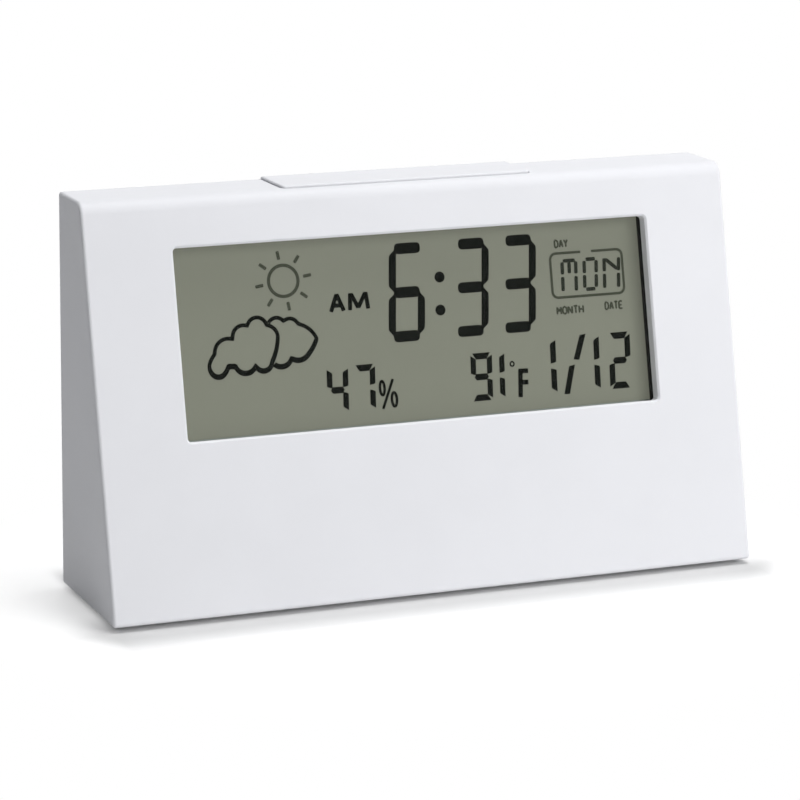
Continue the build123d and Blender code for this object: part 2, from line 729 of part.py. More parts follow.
# Rear cover: inset plate with the battery tub, key holes, vents and screw wells
buzzer_level = board_plane(buzzer_place).from_local_coords((0, 0, buzzer_height)).Z
sound_place = (-buzzer_place[0], (buzzer_level - body_bottom) / cos(rear_lean))
vent_level = board_plane(sensor_place).from_local_coords((0, 0, sensor_lift)).Z
vent_place = (-sensor_place[0], (vent_level - body_bottom) / cos(rear_lean))
with BuildPart() as rear_cover:
    plate_bottom = inner_bottom + cover_gap
    plate_top = inner_top - cover_gap
    with BuildSketch(Plane.YZ):
        with BuildLine():
            Polyline(
                (rear_y(plate_bottom, cover_thickness), plate_bottom),
                (rear_y(plate_top, cover_thickness), plate_top),
                (rear_y(plate_top), plate_top),
                (rear_y(plate_bottom), plate_bottom),
                close=True,
            )
        make_face()
    extrude(amount=inner_half_width - cover_gap, both=True)
    outer_face = rear_cover.faces().filter_by(rear_plane).sort_by(Axis.Y)[-1]
    chamfer(outer_face.edges(), cover_edge)
    # Lips that slide inside the housing's walls
    with BuildSketch(rear_plane.offset(-cover_thickness)):
        for side in (-1, 1):
            with Locations((side * side_lip_across, (side_lip_low + side_lip_high) / 2)):
                Rectangle(lip_thickness, side_lip_high - side_lip_low)
            for lip_inner, lip_level in (
                (top_lip_inner, cover_top - lip_thickness / 2),
                (bottom_lip_inner, bottom_lip_low + lip_thickness / 2),
            ):
                with Locations((side * (lip_inner + end_lip_outer) / 2, lip_level)):
                    Rectangle(end_lip_outer - lip_inner, lip_thickness)
    extrude(amount=-lip_depth)
    # Tub behind the door, with a trough for each cell
    with BuildSketch(rear_plane.offset(-cover_thickness / 2)):
        with Locations((0, bay_middle)):
            Rectangle(bay_length + 2 * tub_wall, bay_height + 2 * tub_wall)
    extrude(amount=cover_thickness / 2 - tub_depth)
    with BuildSketch(section_plane):
        for cell_height in (lower_cell, upper_cell):
            with Locations((-cell_depth, cell_height)):
                Circle(trough_radius)
            with Locations((-cell_depth / 2, cell_height)):
                Rectangle(cell_depth, 2 * trough_radius)
    extrude(amount=bay_length / 2, both=True, mode=Mode.SUBTRACT)
    # Ribs that keep the contacts against the ends of the tub, clear of the springs
    rib_inner = spring_base_radius + spring_wire / 2 + tail_clearance
    rib_outer = trough_radius + contact_rib_root
    rib_middle = (rib_inner + rib_outer) / 2
    for side in (-1, 1):
        with BuildSketch(section_plane.offset(side * (bay_end - tail_clearance - contact_rib / 2))):
            for cell_height, outward in ((lower_cell, -1), (upper_cell, 1)):
                with Locations((-cell_depth, cell_height + outward * rib_middle)):
                    Rectangle(contact_rib_width, rib_outer - rib_inner)
                with Locations((-cell_depth - rib_middle, cell_height)):
                    Rectangle(rib_outer - rib_inner, contact_rib_width)
        extrude(amount=contact_rib / 2, both=True)
    # Seat for the door, and room for its tabs
    with BuildSketch(rear_plane):
        with Locations((0, door_middle)):
            Rectangle(door_length + 2 * door_gap, door_height + 2 * door_gap)
    extrude(amount=-door_seat, mode=Mode.SUBTRACT)
    with BuildSketch(rear_plane.offset(-door_seat)):
        for tab_place in tab_places:
            with Locations((tab_place, bay_bottom - (door_margin + door_gap) / 2)):
                Rectangle(tab_width + 2 * door_gap, door_margin + door_gap)
    extrude(amount=-tab_swing_room, mode=Mode.SUBTRACT)
    # Slots for the tails of the two end contacts
    with BuildSketch(rear_plane.offset(-tub_depth)):
        for cell_height in (lower_cell, upper_cell):
            with Locations((bay_length / 2 - contact_thickness / 2, cell_height)):
                Rectangle(contact_thickness + 2 * tail_clearance, tail_width + 2 * tail_clearance)
    extrude(amount=tub_wall + trough_radius, mode=Mode.SUBTRACT)
    # Bosses for the key board
    with BuildSketch(rear_plane.offset(-cover_thickness / 2)):
        with Locations(*key_fixings):
            Circle(key_boss_radius)
    extrude(amount=cover_thickness / 2 - switch_back)
    with BuildSketch(rear_plane.offset(-switch_back)):
        with Locations(*key_fixings):
            Circle(pilot_radius)
    extrude(amount=key_screw_length + screw_end_gap - board_thickness, mode=Mode.SUBTRACT)
    # Key holes, vents beside the humidity sensor and sound holes behind the buzzer
    with BuildSketch(rear_plane):
        with Locations(*key_places):
            RectangleRounded(key_length + 2 * key_gap, key_height + 2 * key_gap, key_corner + key_gap)
        with Locations(vent_place):
            with GridLocations(0, vent_pitch, 1, vent_count):
                SlotOverall(vent_length, vent_width)
        with Locations(sound_place):
            Circle(sound_hole_radius)
            with PolarLocations(sound_hole_pitch, sound_ring_count):
                Circle(sound_hole_radius)
    extrude(amount=-cover_thickness, mode=Mode.SUBTRACT)
    # Screw wells
    case_screw_places = [
        (side * case_screw_across, height) for side in (-1, 1) for height in case_screw_heights
    ]
    with BuildSketch(rear_plane):
        with Locations(*case_screw_places):
            Circle(hole_radius)
    extrude(amount=-cover_thickness, mode=Mode.SUBTRACT)
    with BuildSketch(rear_plane):
        with Locations(*case_screw_places):
            Circle(screw_head_radius + screw_head_clearance)
    extrude(amount=screw_seat - cover_thickness, mode=Mode.SUBTRACT)
write_piece(rear_cover, "rear_cover")

# Battery door: round lower edge on the hinge line, two tabs behind the cover, a sprung tongue on top
door_pivot = door_thickness / 2
with BuildPart() as battery_door:
    with BuildSketch(section_plane):
        with Locations((-door_pivot, door_bottom + door_pivot)):
            Circle(door_pivot)
        with Locations((-door_pivot, (door_bottom + door_pivot + door_top) / 2)):
            Rectangle(door_thickness, door_height - door_pivot)
    extrude(amount=door_length / 2, both=True)
    outer_face = battery_door.faces().filter_by(rear_plane).sort_by(Axis.Y)[-1]
    fillet(outer_face.edges().filter_by(Axis.X).sort_by(Axis.Z)[-1], door_edge)
    tab_front = cover_thickness + door_gap
    for tab_place in tab_places:
        with BuildSketch(section_plane.offset(tab_place)):
            with Locations((-(door_pivot + tab_front + tab_thickness) / 2, door_bottom + tab_neck)):
                Rectangle(tab_front + tab_thickness - door_pivot, tab_neck)
            with Locations((-tab_front - tab_thickness / 2, door_bottom + (tab_neck - tab_reach) / 2)):
                Rectangle(tab_thickness, tab_reach + 2 * tab_neck)
        extrude(amount=tab_width / 2, both=True)
    with BuildSketch(rear_plane):
        for side in (-1, 1):
            with Locations((side * (tongue_width + tongue_slit) / 2, door_top - tongue_length / 2)):
                Rectangle(tongue_slit, tongue_length)
    extrude(amount=-door_thickness, mode=Mode.SUBTRACT)
    with BuildSketch(rear_plane.offset(-door_pivot)):
        with Locations((0, door_top)):
            Rectangle(tongue_width, 2 * tongue_nose)
    extrude(amount=-door_pivot)
    with BuildSketch(rear_plane):
        with Locations((0, door_top - tongue_length / 2)):
            with GridLocations(0, grip_pitch, 1, grip_count):
                SlotOverall(tongue_width - 2 * grip_width, grip_width)
    extrude(amount=-grip_depth, mode=Mode.SUBTRACT)
write_piece(battery_door, "battery_door")

# Keys with their plungers and switches
for key_name, key_place in zip(key_names, key_places):
    with BuildPart() as key:
        with BuildSketch(rear_plane.offset(key_proud)):
            with Locations(key_place):
                RectangleRounded(key_length, key_height, key_corner)
        extrude(amount=key_flange_thickness - key_proud - flange_back)
        fillet(key.faces().sort_by(Axis.Y)[-1].edges(), key_edge)
        with BuildSketch(rear_plane.offset(key_flange_thickness - flange_back)):
            with Locations(key_place):
                RectangleRounded(key_length + 2 * key_flange, key_height + 2 * key_flange, key_corner)
        extrude(amount=-key_flange_thickness)
    write_piece(key, f"{key_name}_button")

    with BuildPart() as plunger:
        with BuildSketch(rear_plane.offset(-flange_back)):
            with Locations(key_place):
                Circle(plunger_radius)
        extrude(amount=flange_back - switch_front - plunger_depth)
    write_piece(plunger, f"{key_name}_plunger")

    with BuildPart() as switch:
        with BuildSketch(rear_plane.offset(-switch_front)):
            with Locations(key_place):
                Rectangle(switch_side, switch_side)
        extrude(amount=-switch_height)
        with BuildSketch(rear_plane.offset(-switch_front)):
            with Locations(key_place):
                Circle(plunger_radius + plunger_clearance)
        extrude(amount=-(plunger_depth + key_travel + switch_gap), mode=Mode.SUBTRACT)
    write_piece(switch, f"{key_name}_switch")

# Key board on its two bosses
with BuildPart() as key_board:
    with BuildSketch(rear_plane.offset(-switch_back)):
        with Locations((0, key_row)):
            Rectangle(key_board_width, key_board_height)
        with Locations(*key_fixings):
            Circle(hole_radius, mode=Mode.SUBTRACT)
    extrude(amount=-board_thickness)
write_piece(key_board, "key_board")

# Ribbon: leaves the key board square, turns down and meets the main board square
with BuildPart() as key_ribbon:
    ribbon_height = key_row - key_board_height / 2 + ribbon_key_inset
    ribbon_start = rear_point(-ribbon_place, ribbon_height, key_board_back)
    ribbon_first = ribbon_start - rear_plane.z_dir * (2 * ribbon_bend)
    ribbon_end = face_point(ribbon_place, board_bottom + ribbon_pad_rise, board_back)
    ribbon_last = ribbon_end - face_plane.z_dir * (2 * ribbon_bend)
    with BuildLine():
        FilletPolyline(ribbon_start, ribbon_first, ribbon_last, ribbon_end, radius=ribbon_bend)
    with BuildSketch(Plane(origin=ribbon_start, x_dir=(1, 0, 0), z_dir=-rear_plane.z_dir)):
        Rectangle(ribbon_width, ribbon_thickness)
    sweep()
write_piece(key_ribbon, "key_ribbon")

# Cells: the upper one's positive end points to -X, the lower one's to +X
for cell_name, cell_height, positive_side in (
    ("battery_upper", upper_cell, -1),
    ("battery_lower", lower_cell, 1),
):
    cell_centre = rear_point(0, cell_height, cell_depth)
    cell_back = cell_centre + Vector(positive_side * (bay_end - cell_length), 0, 0)
    with BuildPart() as cell:
        with BuildSketch(Plane(origin=cell_back, z_dir=(positive_side, 0, 0))):
            Circle(cell_radius)
        extrude(amount=cell_length - cell_nub_length)
        fillet(cell.edges().filter_by(GeomType.CIRCLE), cell_edge)
        with BuildSketch(Plane(origin=cell_back, z_dir=(positive_side, 0, 0))):
            Circle(cell_nub_radius)
        extrude(amount=cell_length)
    write_piece(cell, cell_name)

# Contacts: one plate bridges the cells at +X, two plates with solder tails stand at -X
with BuildPart() as contact_link:
    with BuildSketch(section_plane.offset(bay_end)):
        with Locations((-cell_depth, lower_cell), (-cell_depth, upper_cell)):
            Circle(contact_radius)
        with Locations((-cell_depth + (contact_bridge_high - contact_bridge_low) / 2, bay_middle)):
            Rectangle(contact_bridge_low + contact_bridge_high, cell_pitch)
    extrude(amount=contact_thickness)
write_piece(contact_link, "contact_link")

tail_end = tub_depth + tail_reach
for contact_name, cell_height in (("contact_positive", upper_cell), ("contact_negative", lower_cell)):
    with BuildPart() as contact:
        with BuildSketch(section_plane.offset(-bay_length / 2)):
            with Locations((-cell_depth, cell_height)):
                Circle(contact_radius)
            with Locations((-(cell_depth + tail_end) / 2, cell_height)):
                Rectangle(tail_end - cell_depth, tail_width)
        extrude(amount=contact_thickness)
    write_piece(contact, contact_name)


def biarc(start, end, start_way, end_way):
    # Two arcs that leave start along start_way and reach end along end_way, tangent where they meet
    chord = end - start
    both_ways = start_way + end_way
    turn = 2 * (1 - start_way.dot(end_way))
    along = chord.dot(both_ways)
    reach = (sqrt(along * along + turn * chord.dot(chord)) - along) / turn
    first_control = start + start_way * reach
    second_control = end - end_way * reach
    meet = (first_control + second_control) * 0.5
    TangentArc(start, meet, tangent=start_way)
    TangentArc(meet, end, tangent=second_control - first_control)


def coil_point(origin, way, share):
    # A cone-shaped coil: the radius shrinks and the turn advances evenly with the share of its length
    angle = 2 * pi * spring_turns * share
    radius = spring_base_radius + (spring_tip_radius - spring_base_radius) * share
    advance = spring_wire / 2 + (spring_length - spring_wire) * share
    spoke = rear_plane.y_dir * cos(angle) + rear_plane.z_dir * sin(angle)
    return origin + way * advance + spoke * radius


def coil_way(origin, way, share):
    step = 1e-5
    return (coil_point(origin, way, share + step) - coil_point(origin, way, share - step)).normalized()


# Coil springs against the cells' flat ends
quarter_turns = 4 * spring_turns
for spring_name, cell_height, spring_side in (
    ("spring_upper", upper_cell, 1),
    ("spring_lower", lower_cell, -1),
):
    spring_origin = rear_point(0, cell_height, cell_depth) + Vector(spring_side * bay_end, 0, 0)
    spring_way = Vector(-spring_side, 0, 0)
    with BuildPart() as spring:
        with BuildLine() as coil:
            for quarter in range(quarter_turns):
                shares = (quarter / quarter_turns, (quarter + 1) / quarter_turns)
                points = [coil_point(spring_origin, spring_way, share) for share in shares]
                ways = [coil_way(spring_origin, spring_way, share) for share in shares]
                biarc(*points, *ways)
        with BuildSketch(Plane(origin=coil.line @ 0, z_dir=coil.line % 0)):
            Circle(spring_wire / 2)
        sweep()
    write_piece(spring, spring_name)
    turn_step = hypot(spring_length - spring_wire, spring_base_radius - spring_tip_radius) / spring_turns
    print(spring_name, "least gap between turns", round(turn_step - spring_wire, 2), "mm")

# Leads from the contact tails to the back of the main board
for lead_name, cell_height, lead_order in (
    ("battery_lead_red", upper_cell, 0),
    ("battery_lead_black", lower_cell, 1),
):
    lead_start = rear_point(bay_length / 2, cell_height, tail_end - tail_reach / 2)
    lead_x = -bay_length / 2 - lead_exit - lead_order * lead_spread
    pad = face_point(lead_x - lead_spread, board_bottom + lead_pad_rise, board_back)
    approach = pad - face_plane.z_dir * lead_approach
    lead_points = [
        lead_start,
        Vector(lead_x, lead_start.Y, lead_start.Z),
        Vector(lead_x - lead_spread / 2, approach.Y, approach.Z - lead_rise),
        approach,
        pad,
    ]
    lead_radii = []
    for before, corner, after in zip(lead_points, lead_points[1:], lead_points[2:]):
        half_turn = radians((corner - before).get_angle(after - corner)) / 2
        shorter_run = min((corner - before).length, (after - corner).length)
        lead_radii.append(lead_bend_share * shorter_run / tan(half_turn))
    print(lead_name, "bend radii", [round(radius, 1) for radius in lead_radii])
    with BuildPart() as lead:
        with BuildLine():
            FilletPolyline(*lead_points, radius=lead_radii)
        with BuildSketch(Plane(origin=lead_start, z_dir=(-1, 0, 0))):
            Circle(lead_radius)
        sweep()
    write_piece(lead, lead_name)


def screw_set(name, plane, places, length):
    # Pan-head screws: heads stand on the plane, shanks run down from it, a cross in each head
    with BuildPart() as screws:
        with BuildSketch(plane):
            with Locations(*places):
                Circle(screw_head_radius)
        extrude(amount=screw_head_height)
        head_tops = screws.faces().filter_by(plane).sort_by(Axis(plane.origin, plane.z_dir))[-len(places) :]
        fillet(head_tops.edges(), screw_head_edge)
        with BuildSketch(plane):
            with Locations(*places):
                Circle(screw_shank_radius)
        extrude(amount=-length)
        with BuildSketch(plane.offset(screw_head_height)):
            with Locations(*places):
                Rectangle(recess_length, recess_width)
                Rectangle(recess_width, recess_length)
        extrude(amount=-recess_depth, mode=Mode.SUBTRACT)
    write_piece(screws, name)


# Screws: rear cover to housing, main board to housing, key board to rear cover
case_screw_plane = rear_plane.offset(screw_seat - cover_thickness)
screw_set("case_screws", case_screw_plane, case_screw_places, case_screw_length)
board_screw_plane = Plane(
    origin=face_plane.from_local_coords((0, 0, -board_back)), x_dir=(-1, 0, 0), z_dir=-face_plane.z_dir
)
screw_set("board_screws", board_screw_plane, board_fixings, board_screw_length)
key_screw_plane = Plane(
    origin=rear_plane.from_local_coords((0, 0, -key_board_back)), x_dir=(1, 0, 0), z_dir=-rear_plane.z_dir
)
screw_set("key_board_screws", key_screw_plane, key_fixings, key_screw_length)
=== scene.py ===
import json
import math

import bpy
import numpy as np
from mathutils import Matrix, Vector


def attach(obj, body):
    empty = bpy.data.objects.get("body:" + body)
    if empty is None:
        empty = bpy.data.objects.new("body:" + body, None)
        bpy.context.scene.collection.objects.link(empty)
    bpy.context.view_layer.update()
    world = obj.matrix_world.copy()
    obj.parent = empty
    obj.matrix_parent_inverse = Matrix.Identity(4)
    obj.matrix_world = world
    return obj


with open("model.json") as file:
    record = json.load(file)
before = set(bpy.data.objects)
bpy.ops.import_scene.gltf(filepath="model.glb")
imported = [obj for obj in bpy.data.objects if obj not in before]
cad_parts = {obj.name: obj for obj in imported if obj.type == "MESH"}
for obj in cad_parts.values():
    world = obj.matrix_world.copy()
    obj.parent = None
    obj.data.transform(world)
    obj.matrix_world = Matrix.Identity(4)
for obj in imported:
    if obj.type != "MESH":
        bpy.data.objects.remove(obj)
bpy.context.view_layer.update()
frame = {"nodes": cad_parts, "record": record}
nodes = frame["nodes"]
scene = bpy.context.scene
mm = 0.001
plainWhite = (1.0, 1.0, 1.0)
plainBlack = (0.0, 0.0, 0.0)


# Camera: stands to the front left and a little above, with a long lens.

viewpoint = {
    "lens": 155.36,  # mm, on the sensor below
    "sensor": 36.0,
    "clip": (0.01, 20),  # nearest and farthest, in metres
    "azimuth": -21.66,  # degrees round from the front, below 0 to the viewer's left
    "elevation": 12.91,
    "distance": 701.58,  # mm to the target
    "target": (-5.6, -8.0, 39.67),  # mm
}


def aimCamera(spec):
    turn, lift = math.radians(spec["azimuth"]), math.radians(spec["elevation"])
    back = Vector((math.sin(turn) * math.cos(lift), -math.cos(turn) * math.cos(lift), math.sin(lift)))
    data = bpy.data.cameras.new("clockCamera")
    data.lens, data.sensor_width = spec["lens"], spec["sensor"]
    data.clip_start, data.clip_end = spec["clip"]
    camera = bpy.data.objects.new("clockCamera", data)
    camera.location = (Vector(spec["target"]) + back * spec["distance"]) * mm
    camera.rotation_mode = "QUATERNION"
    camera.rotation_quaternion = (-back).to_track_quat("-Z", "Y")
    scene.collection.objects.link(camera)
    scene.camera = camera


aimCamera(viewpoint)
print("camera placed")


# Shader maths: a Wire holds one output socket, and sums on Wires add Math nodes.

class Wire:
    def __init__(self, tree, socket=None):
        self.tree, self.socket = tree, socket

    def node(self, kind, settings=None, sockets=None, output=0):  # settings first, then values or links
        made = self.tree.nodes.new(kind)
        for name, value in (settings or {}).items():
            setattr(made, name, value)
        for name, value in (sockets or {}).items():
            if isinstance(value, Wire):
                self.tree.links.new(value.socket, made.inputs[name])
            else:
                made.inputs[name].default_value = value
        return Wire(self.tree, made.outputs[output] if len(made.outputs) else None)

    def sum(self, operation, first, second=0.0):
        return self.node("ShaderNodeMath", {"operation": operation}, {0: first, 1: second})

    def __add__(self, other):
        return self.sum("ADD", self, other)

    def __sub__(self, other):
        return self.sum("SUBTRACT", self, other)

    def __mul__(self, other):
        return self.sum("MULTIPLY", self, other)

    def __radd__(self, other):
        return self.sum("ADD", other, self)

    def __rsub__(self, other):
        return self.sum("SUBTRACT", other, self)

    def __rmul__(self, other):
        return self.sum("MULTIPLY", other, self)

    def __abs__(self):
        return self.sum("ABSOLUTE", self)

    def smooth(self, low, high):  # 0 below low, 1 above high, an S curve between
        return self.node(
            "ShaderNodeMapRange",
            {"interpolation_type": "SMOOTHSTEP"},
            {"Value": self, "From Min": low, "From Max": high},
        )

    def between(self, first, second):  # blends two colours, which are inputs 6 and 7, by this value
        return self.node("ShaderNodeMix", {"data_type": "RGBA"}, {0: self, 6: first, 7: second}, 2)


def rgb(colour, gain=1.0):
    return (*(part * gain for part in colour), 1.0)


def startFinish(name):
    material = bpy.data.materials.new(name)
    material.use_nodes = True
    material.node_tree.nodes.clear()
    return material, Wire(material.node_tree)


def place(sheet):
    return sheet.node("ShaderNodeTexCoord", output="Object")


def coordinate(sheet, spot, axis):
    return sheet.node("ShaderNodeSeparateXYZ", None, {"Vector": spot}, axis)


noiseMiddle = 0.5


def noise(sheet, scale, detail=3.0, stretch=(1, 1, 1)):
    spot = sheet.node("ShaderNodeMapping", None, {"Vector": place(sheet), "Scale": stretch})
    return sheet.node("ShaderNodeTexNoise", None, {"Vector": spot, "Scale": scale, "Detail": detail}, "Fac")


def swing(value):  # how far a noise lies above or below its middle
    return value - noiseMiddle


def bands(sheet, axis, pitch):  # 0 to 1 stripes across an axis, pitch in mm
    waveRate = 20  # radians that the Wave Texture turns in a metre at scale 1
    scale = 2 * math.pi / (waveRate * pitch * mm)
    return sheet.node(
        "ShaderNodeTexWave",
        {"wave_type": "BANDS", "bands_direction": axis, "wave_profile": "SIN"},
        {"Vector": place(sheet), "Scale": scale},
        "Fac",
    )


def relief(sheet, height, strength, depth):  # bump, depth in mm
    sockets = {"Height": height, "Strength": strength, "Distance": depth * mm}
    return sheet.node("ShaderNodeBump", None, sockets)


def principled(sheet, sockets):
    return sheet.node("ShaderNodeBsdfPrincipled", None, sockets, "BSDF")


def endFinish(material, sheet, shader):
    sheet.node("ShaderNodeOutputMaterial", None, {"Surface": shader})
    return material


# Finishes. Colours are linear. Scales are per metre: 40 is a 25 mm patch, 3000 a third of a mm.
# A pair of edges is where a noise or a stripe begins to count, and where it counts in full.

mouldedLook = {  # what a finish has where its own look doesn't say otherwise
    "patchScale": 45,
    "patchEdges": (0.3, 0.7),
    "patch": 0.02,  # how much darker a patch is
    "roughPatch": 0.12,
    "grainScale": 2600,
    "grainDetail": 2.0,
    "grain": 0.12,
    "grainDepth": 0.02,  # mm
    "roughGrain": 0.1,
    "shine": 0.5,
}


def mouldedFinish(name, own):  # plastic or rubber: faint patches, uneven gloss and a fine moulded grain
    look = {**mouldedLook, **own}
    material, sheet = startFinish(name)
    patch = noise(sheet, look["patchScale"])
    grain = noise(sheet, look["grainScale"], look["grainDetail"])
    dark = rgb(look["colour"], 1 - look["patch"])
    shader = principled(sheet, {
        "Base Color": patch.smooth(*look["patchEdges"]).between(dark, rgb(look["colour"])),
        "Roughness": look["rough"] + swing(patch) * look["roughPatch"] + swing(grain) * look["roughGrain"],
        "Normal": relief(sheet, grain, look["grain"], look["grainDepth"]),
        "Specular IOR Level": look["shine"],
    })
    return endFinish(material, sheet, shader)


metalLook = {
    "streakDetail": 2.0,
    "streak": 0.15,
    "streakDepth": 0.01,  # mm
    "roughStreak": 0.14,
    "spotScale": 700,
    "spotDetail": 4.0,
    "spotEdges": (0.52, 0.75),
    "spotShade": 0.72,  # a dull spot's share of the colour
    "roughSpot": 0.18,
}


def metalFinish(name, own):  # plated metal: streaks along one axis and dull spots
    look = {**metalLook, **own}
    material, sheet = startFinish(name)
    streak = noise(sheet, look["streakScale"], look["streakDetail"], look["stretch"])
    dull = noise(sheet, look["spotScale"], look["spotDetail"]).smooth(*look["spotEdges"])
    shader = principled(sheet, {
        "Base Color": dull.between(rgb(look["colour"]), rgb(look["colour"], look["spotShade"])),
        "Roughness": look["rough"] + streak * look["roughStreak"] + dull * look["roughSpot"],
        "Normal": relief(sheet, streak, look["streak"], look["streakDepth"]),
        "Metallic": 1.0,
    })
    return endFinish(material, sheet, shader)


stripedLook = {
    "stripeEdges": (0.35, 0.65),
    "ridge": 0.3,
    "ridgeDepth": 0.05,  # mm
    "wearScale": 300,
    "roughWear": 0.2,
    "ior": 1.5,
}


def stripedFinish(name, own):  # flat conductors side by side in a paler body
    look = {**stripedLook, **own}
    material, sheet = startFinish(name)
    stripe = bands(sheet, look["axis"], look["pitch"]).smooth(*look["stripeEdges"])
    wear = noise(sheet, look["wearScale"])
    shader = principled(sheet, {
        "Base Color": stripe.between(rgb(look["body"]), rgb(look["stripe"])),
        "Roughness": look["rough"] + swing(wear) * look["roughWear"],
        "Normal": relief(sheet, stripe, look["ridge"], look["ridgeDepth"]),
        "IOR": look["ior"],
    })
    return endFinish(material, sheet, shader)


boardLook = {
    "mask": (0.012, 0.1, 0.035),
    "track": (0.03, 0.19, 0.06),
    "trackPitch": 1.5,  # mm
    "upwardPitch": 1.3,  # of the upright tracks, in pitches of the others
    "trackEdges": (0.62, 0.72),
    "ridge": 0.4,
    "ridgeDepth": 0.04,  # mm
    "regionScale": 120,
    "regionDetail": 0.0,
    "regionEdges": (0.47, 0.5),
    "dustScale": 900,
    "rough": 0.3,
    "roughDust": 0.2,
    "ior": 1.5,
}


def boardFinish(name, look):  # solder mask over copper: paler where tracks run under it
    material, sheet = startFinish(name)
    across = bands(sheet, "X", look["trackPitch"]).smooth(*look["trackEdges"])
    upward = bands(sheet, "Z", look["trackPitch"] * look["upwardPitch"]).smooth(*look["trackEdges"])
    region = noise(sheet, look["regionScale"], look["regionDetail"]).smooth(*look["regionEdges"])
    track = region * across + (1 - region) * upward
    dust = noise(sheet, look["dustScale"])
    shader = principled(sheet, {
        "Base Color": track.between(rgb(look["mask"]), rgb(look["track"])),
        "Roughness": look["rough"] + dust * look["roughDust"],
        "Normal": relief(sheet, track, look["ridge"], look["ridgeDepth"]),
        "IOR": look["ior"],
    })
    return endFinish(material, sheet, shader)


cellLook = {
    "sleeve": (0.05, 0.085, 0.15),
    "band": (0.62, 0.64, 0.66),
    "bandReach": (17.2, 0.15),  # mm from the cell's middle, and mm over which it begins
    "metal": (0.7, 0.69, 0.67),
    "metalReach": (22.6, 0.1),
    "scuffScale": 420,
    "scuffDetail": 4.0,
    "scuffStretch": (0.3, 1, 1),
    "scuffEdges": (0.55, 0.8),
    "scuffColour": (0.6, 0.6, 0.6),
    "scuff": 0.12,  # share of that colour in a scuff
    "rough": 0.26,
    "roughScuff": 0.25,
    "metallic": 0.35,
    "bareMetallic": 0.6,  # added where the metal is bare
}


def cellFinish(name, look):  # printed sleeve with a pale band, bare plated metal at both ends
    material, sheet = startFinish(name)
    reach = abs(coordinate(sheet, place(sheet), "X"))
    band, bare = [reach.smooth(start * mm, (start + edge) * mm)
                  for start, edge in (look["bandReach"], look["metalReach"])]
    rubbed = noise(sheet, look["scuffScale"], look["scuffDetail"], look["scuffStretch"])
    scuff = rubbed.smooth(*look["scuffEdges"])
    sleeve = band.between(rgb(look["sleeve"]), rgb(look["band"]))
    scuffed = (scuff * look["scuff"]).between(sleeve, rgb(look["scuffColour"]))
    shader = principled(sheet, {
        "Base Color": bare.between(scuffed, rgb(look["metal"])),
        "Roughness": look["rough"] + scuff * look["roughScuff"],
        "Metallic": look["metallic"] + bare * look["bareMetallic"],
    })
    return endFinish(material, sheet, shader)


lensLook = {
    "tint": (0.97, 0.975, 0.97),
    "ior": 1.49,
    "shine": 0.08,  # share of the mirror image that shows
    "smearScale": 60,
    "smearDetail": 4.0,
    "smearEdges": (0.45, 0.8),
    "rough": 0.04,
    "roughSmear": 0.1,
}


def lensFinish(name, look):  # thin clear sheet: what is behind it, and a mirror image that grows at a slant
    material, sheet = startFinish(name)
    smear = noise(sheet, look["smearScale"], look["smearDetail"]).smooth(*look["smearEdges"])
    shine = sheet.node("ShaderNodeFresnel", None, {"IOR": look["ior"]}) * look["shine"]
    clear = sheet.node("ShaderNodeBsdfTransparent", None, {"Color": rgb(look["tint"])})
    rough = look["rough"] + smear * look["roughSmear"]
    gloss = sheet.node("ShaderNodeBsdfGlossy", None, {"Color": rgb(plainWhite), "Roughness": rough})
    shader = sheet.node("ShaderNodeMixShader", None, {0: shine, 1: clear, 2: gloss})
    return endFinish(material, sheet, shader)


filmLook = {
    "driftScale": 28,
    "driftDetail": 2.0,
    "drift": 0.9,
    "roughDrift": 0.1,
    "speckScale": 5200,
    "speckDetail": 1.0,
    "speck": 0.5,
    "shades": (0.955, 1.045),  # darkest and palest shares of the colour
    "ior": 1.4,
    "shine": 0.12,
}


def filmFinish(name, own):  # the display's film and inks, uneven; paintedGlow is light of their own colour that they give off, painted light that evens out the shade the window's recess casts on the film
    look = {**filmLook, **own}
    material, sheet = startFinish(name)
    drift = noise(sheet, look["driftScale"], look["driftDetail"])
    speck = noise(sheet, look["speckScale"], look["speckDetail"])
    mix = swing(drift) * look["drift"] + swing(speck) * look["speck"] + noiseMiddle
    dark, pale = look["shades"]
    colour = mix.between(rgb(look["colour"], dark), rgb(look["colour"], pale))
    shader = principled(sheet, {
        "Base Color": colour,
        "Roughness": look["rough"] + drift * look["roughDrift"],
        "IOR": look["ior"],
        "Specular IOR Level": look["shine"],
        # painted light: the film and inks glow with their own colour, though they are no lamp
        "Emission Color": colour,
        "Emission Strength": look["paintedGlow"],
    })
    return endFinish(material, sheet, shader)


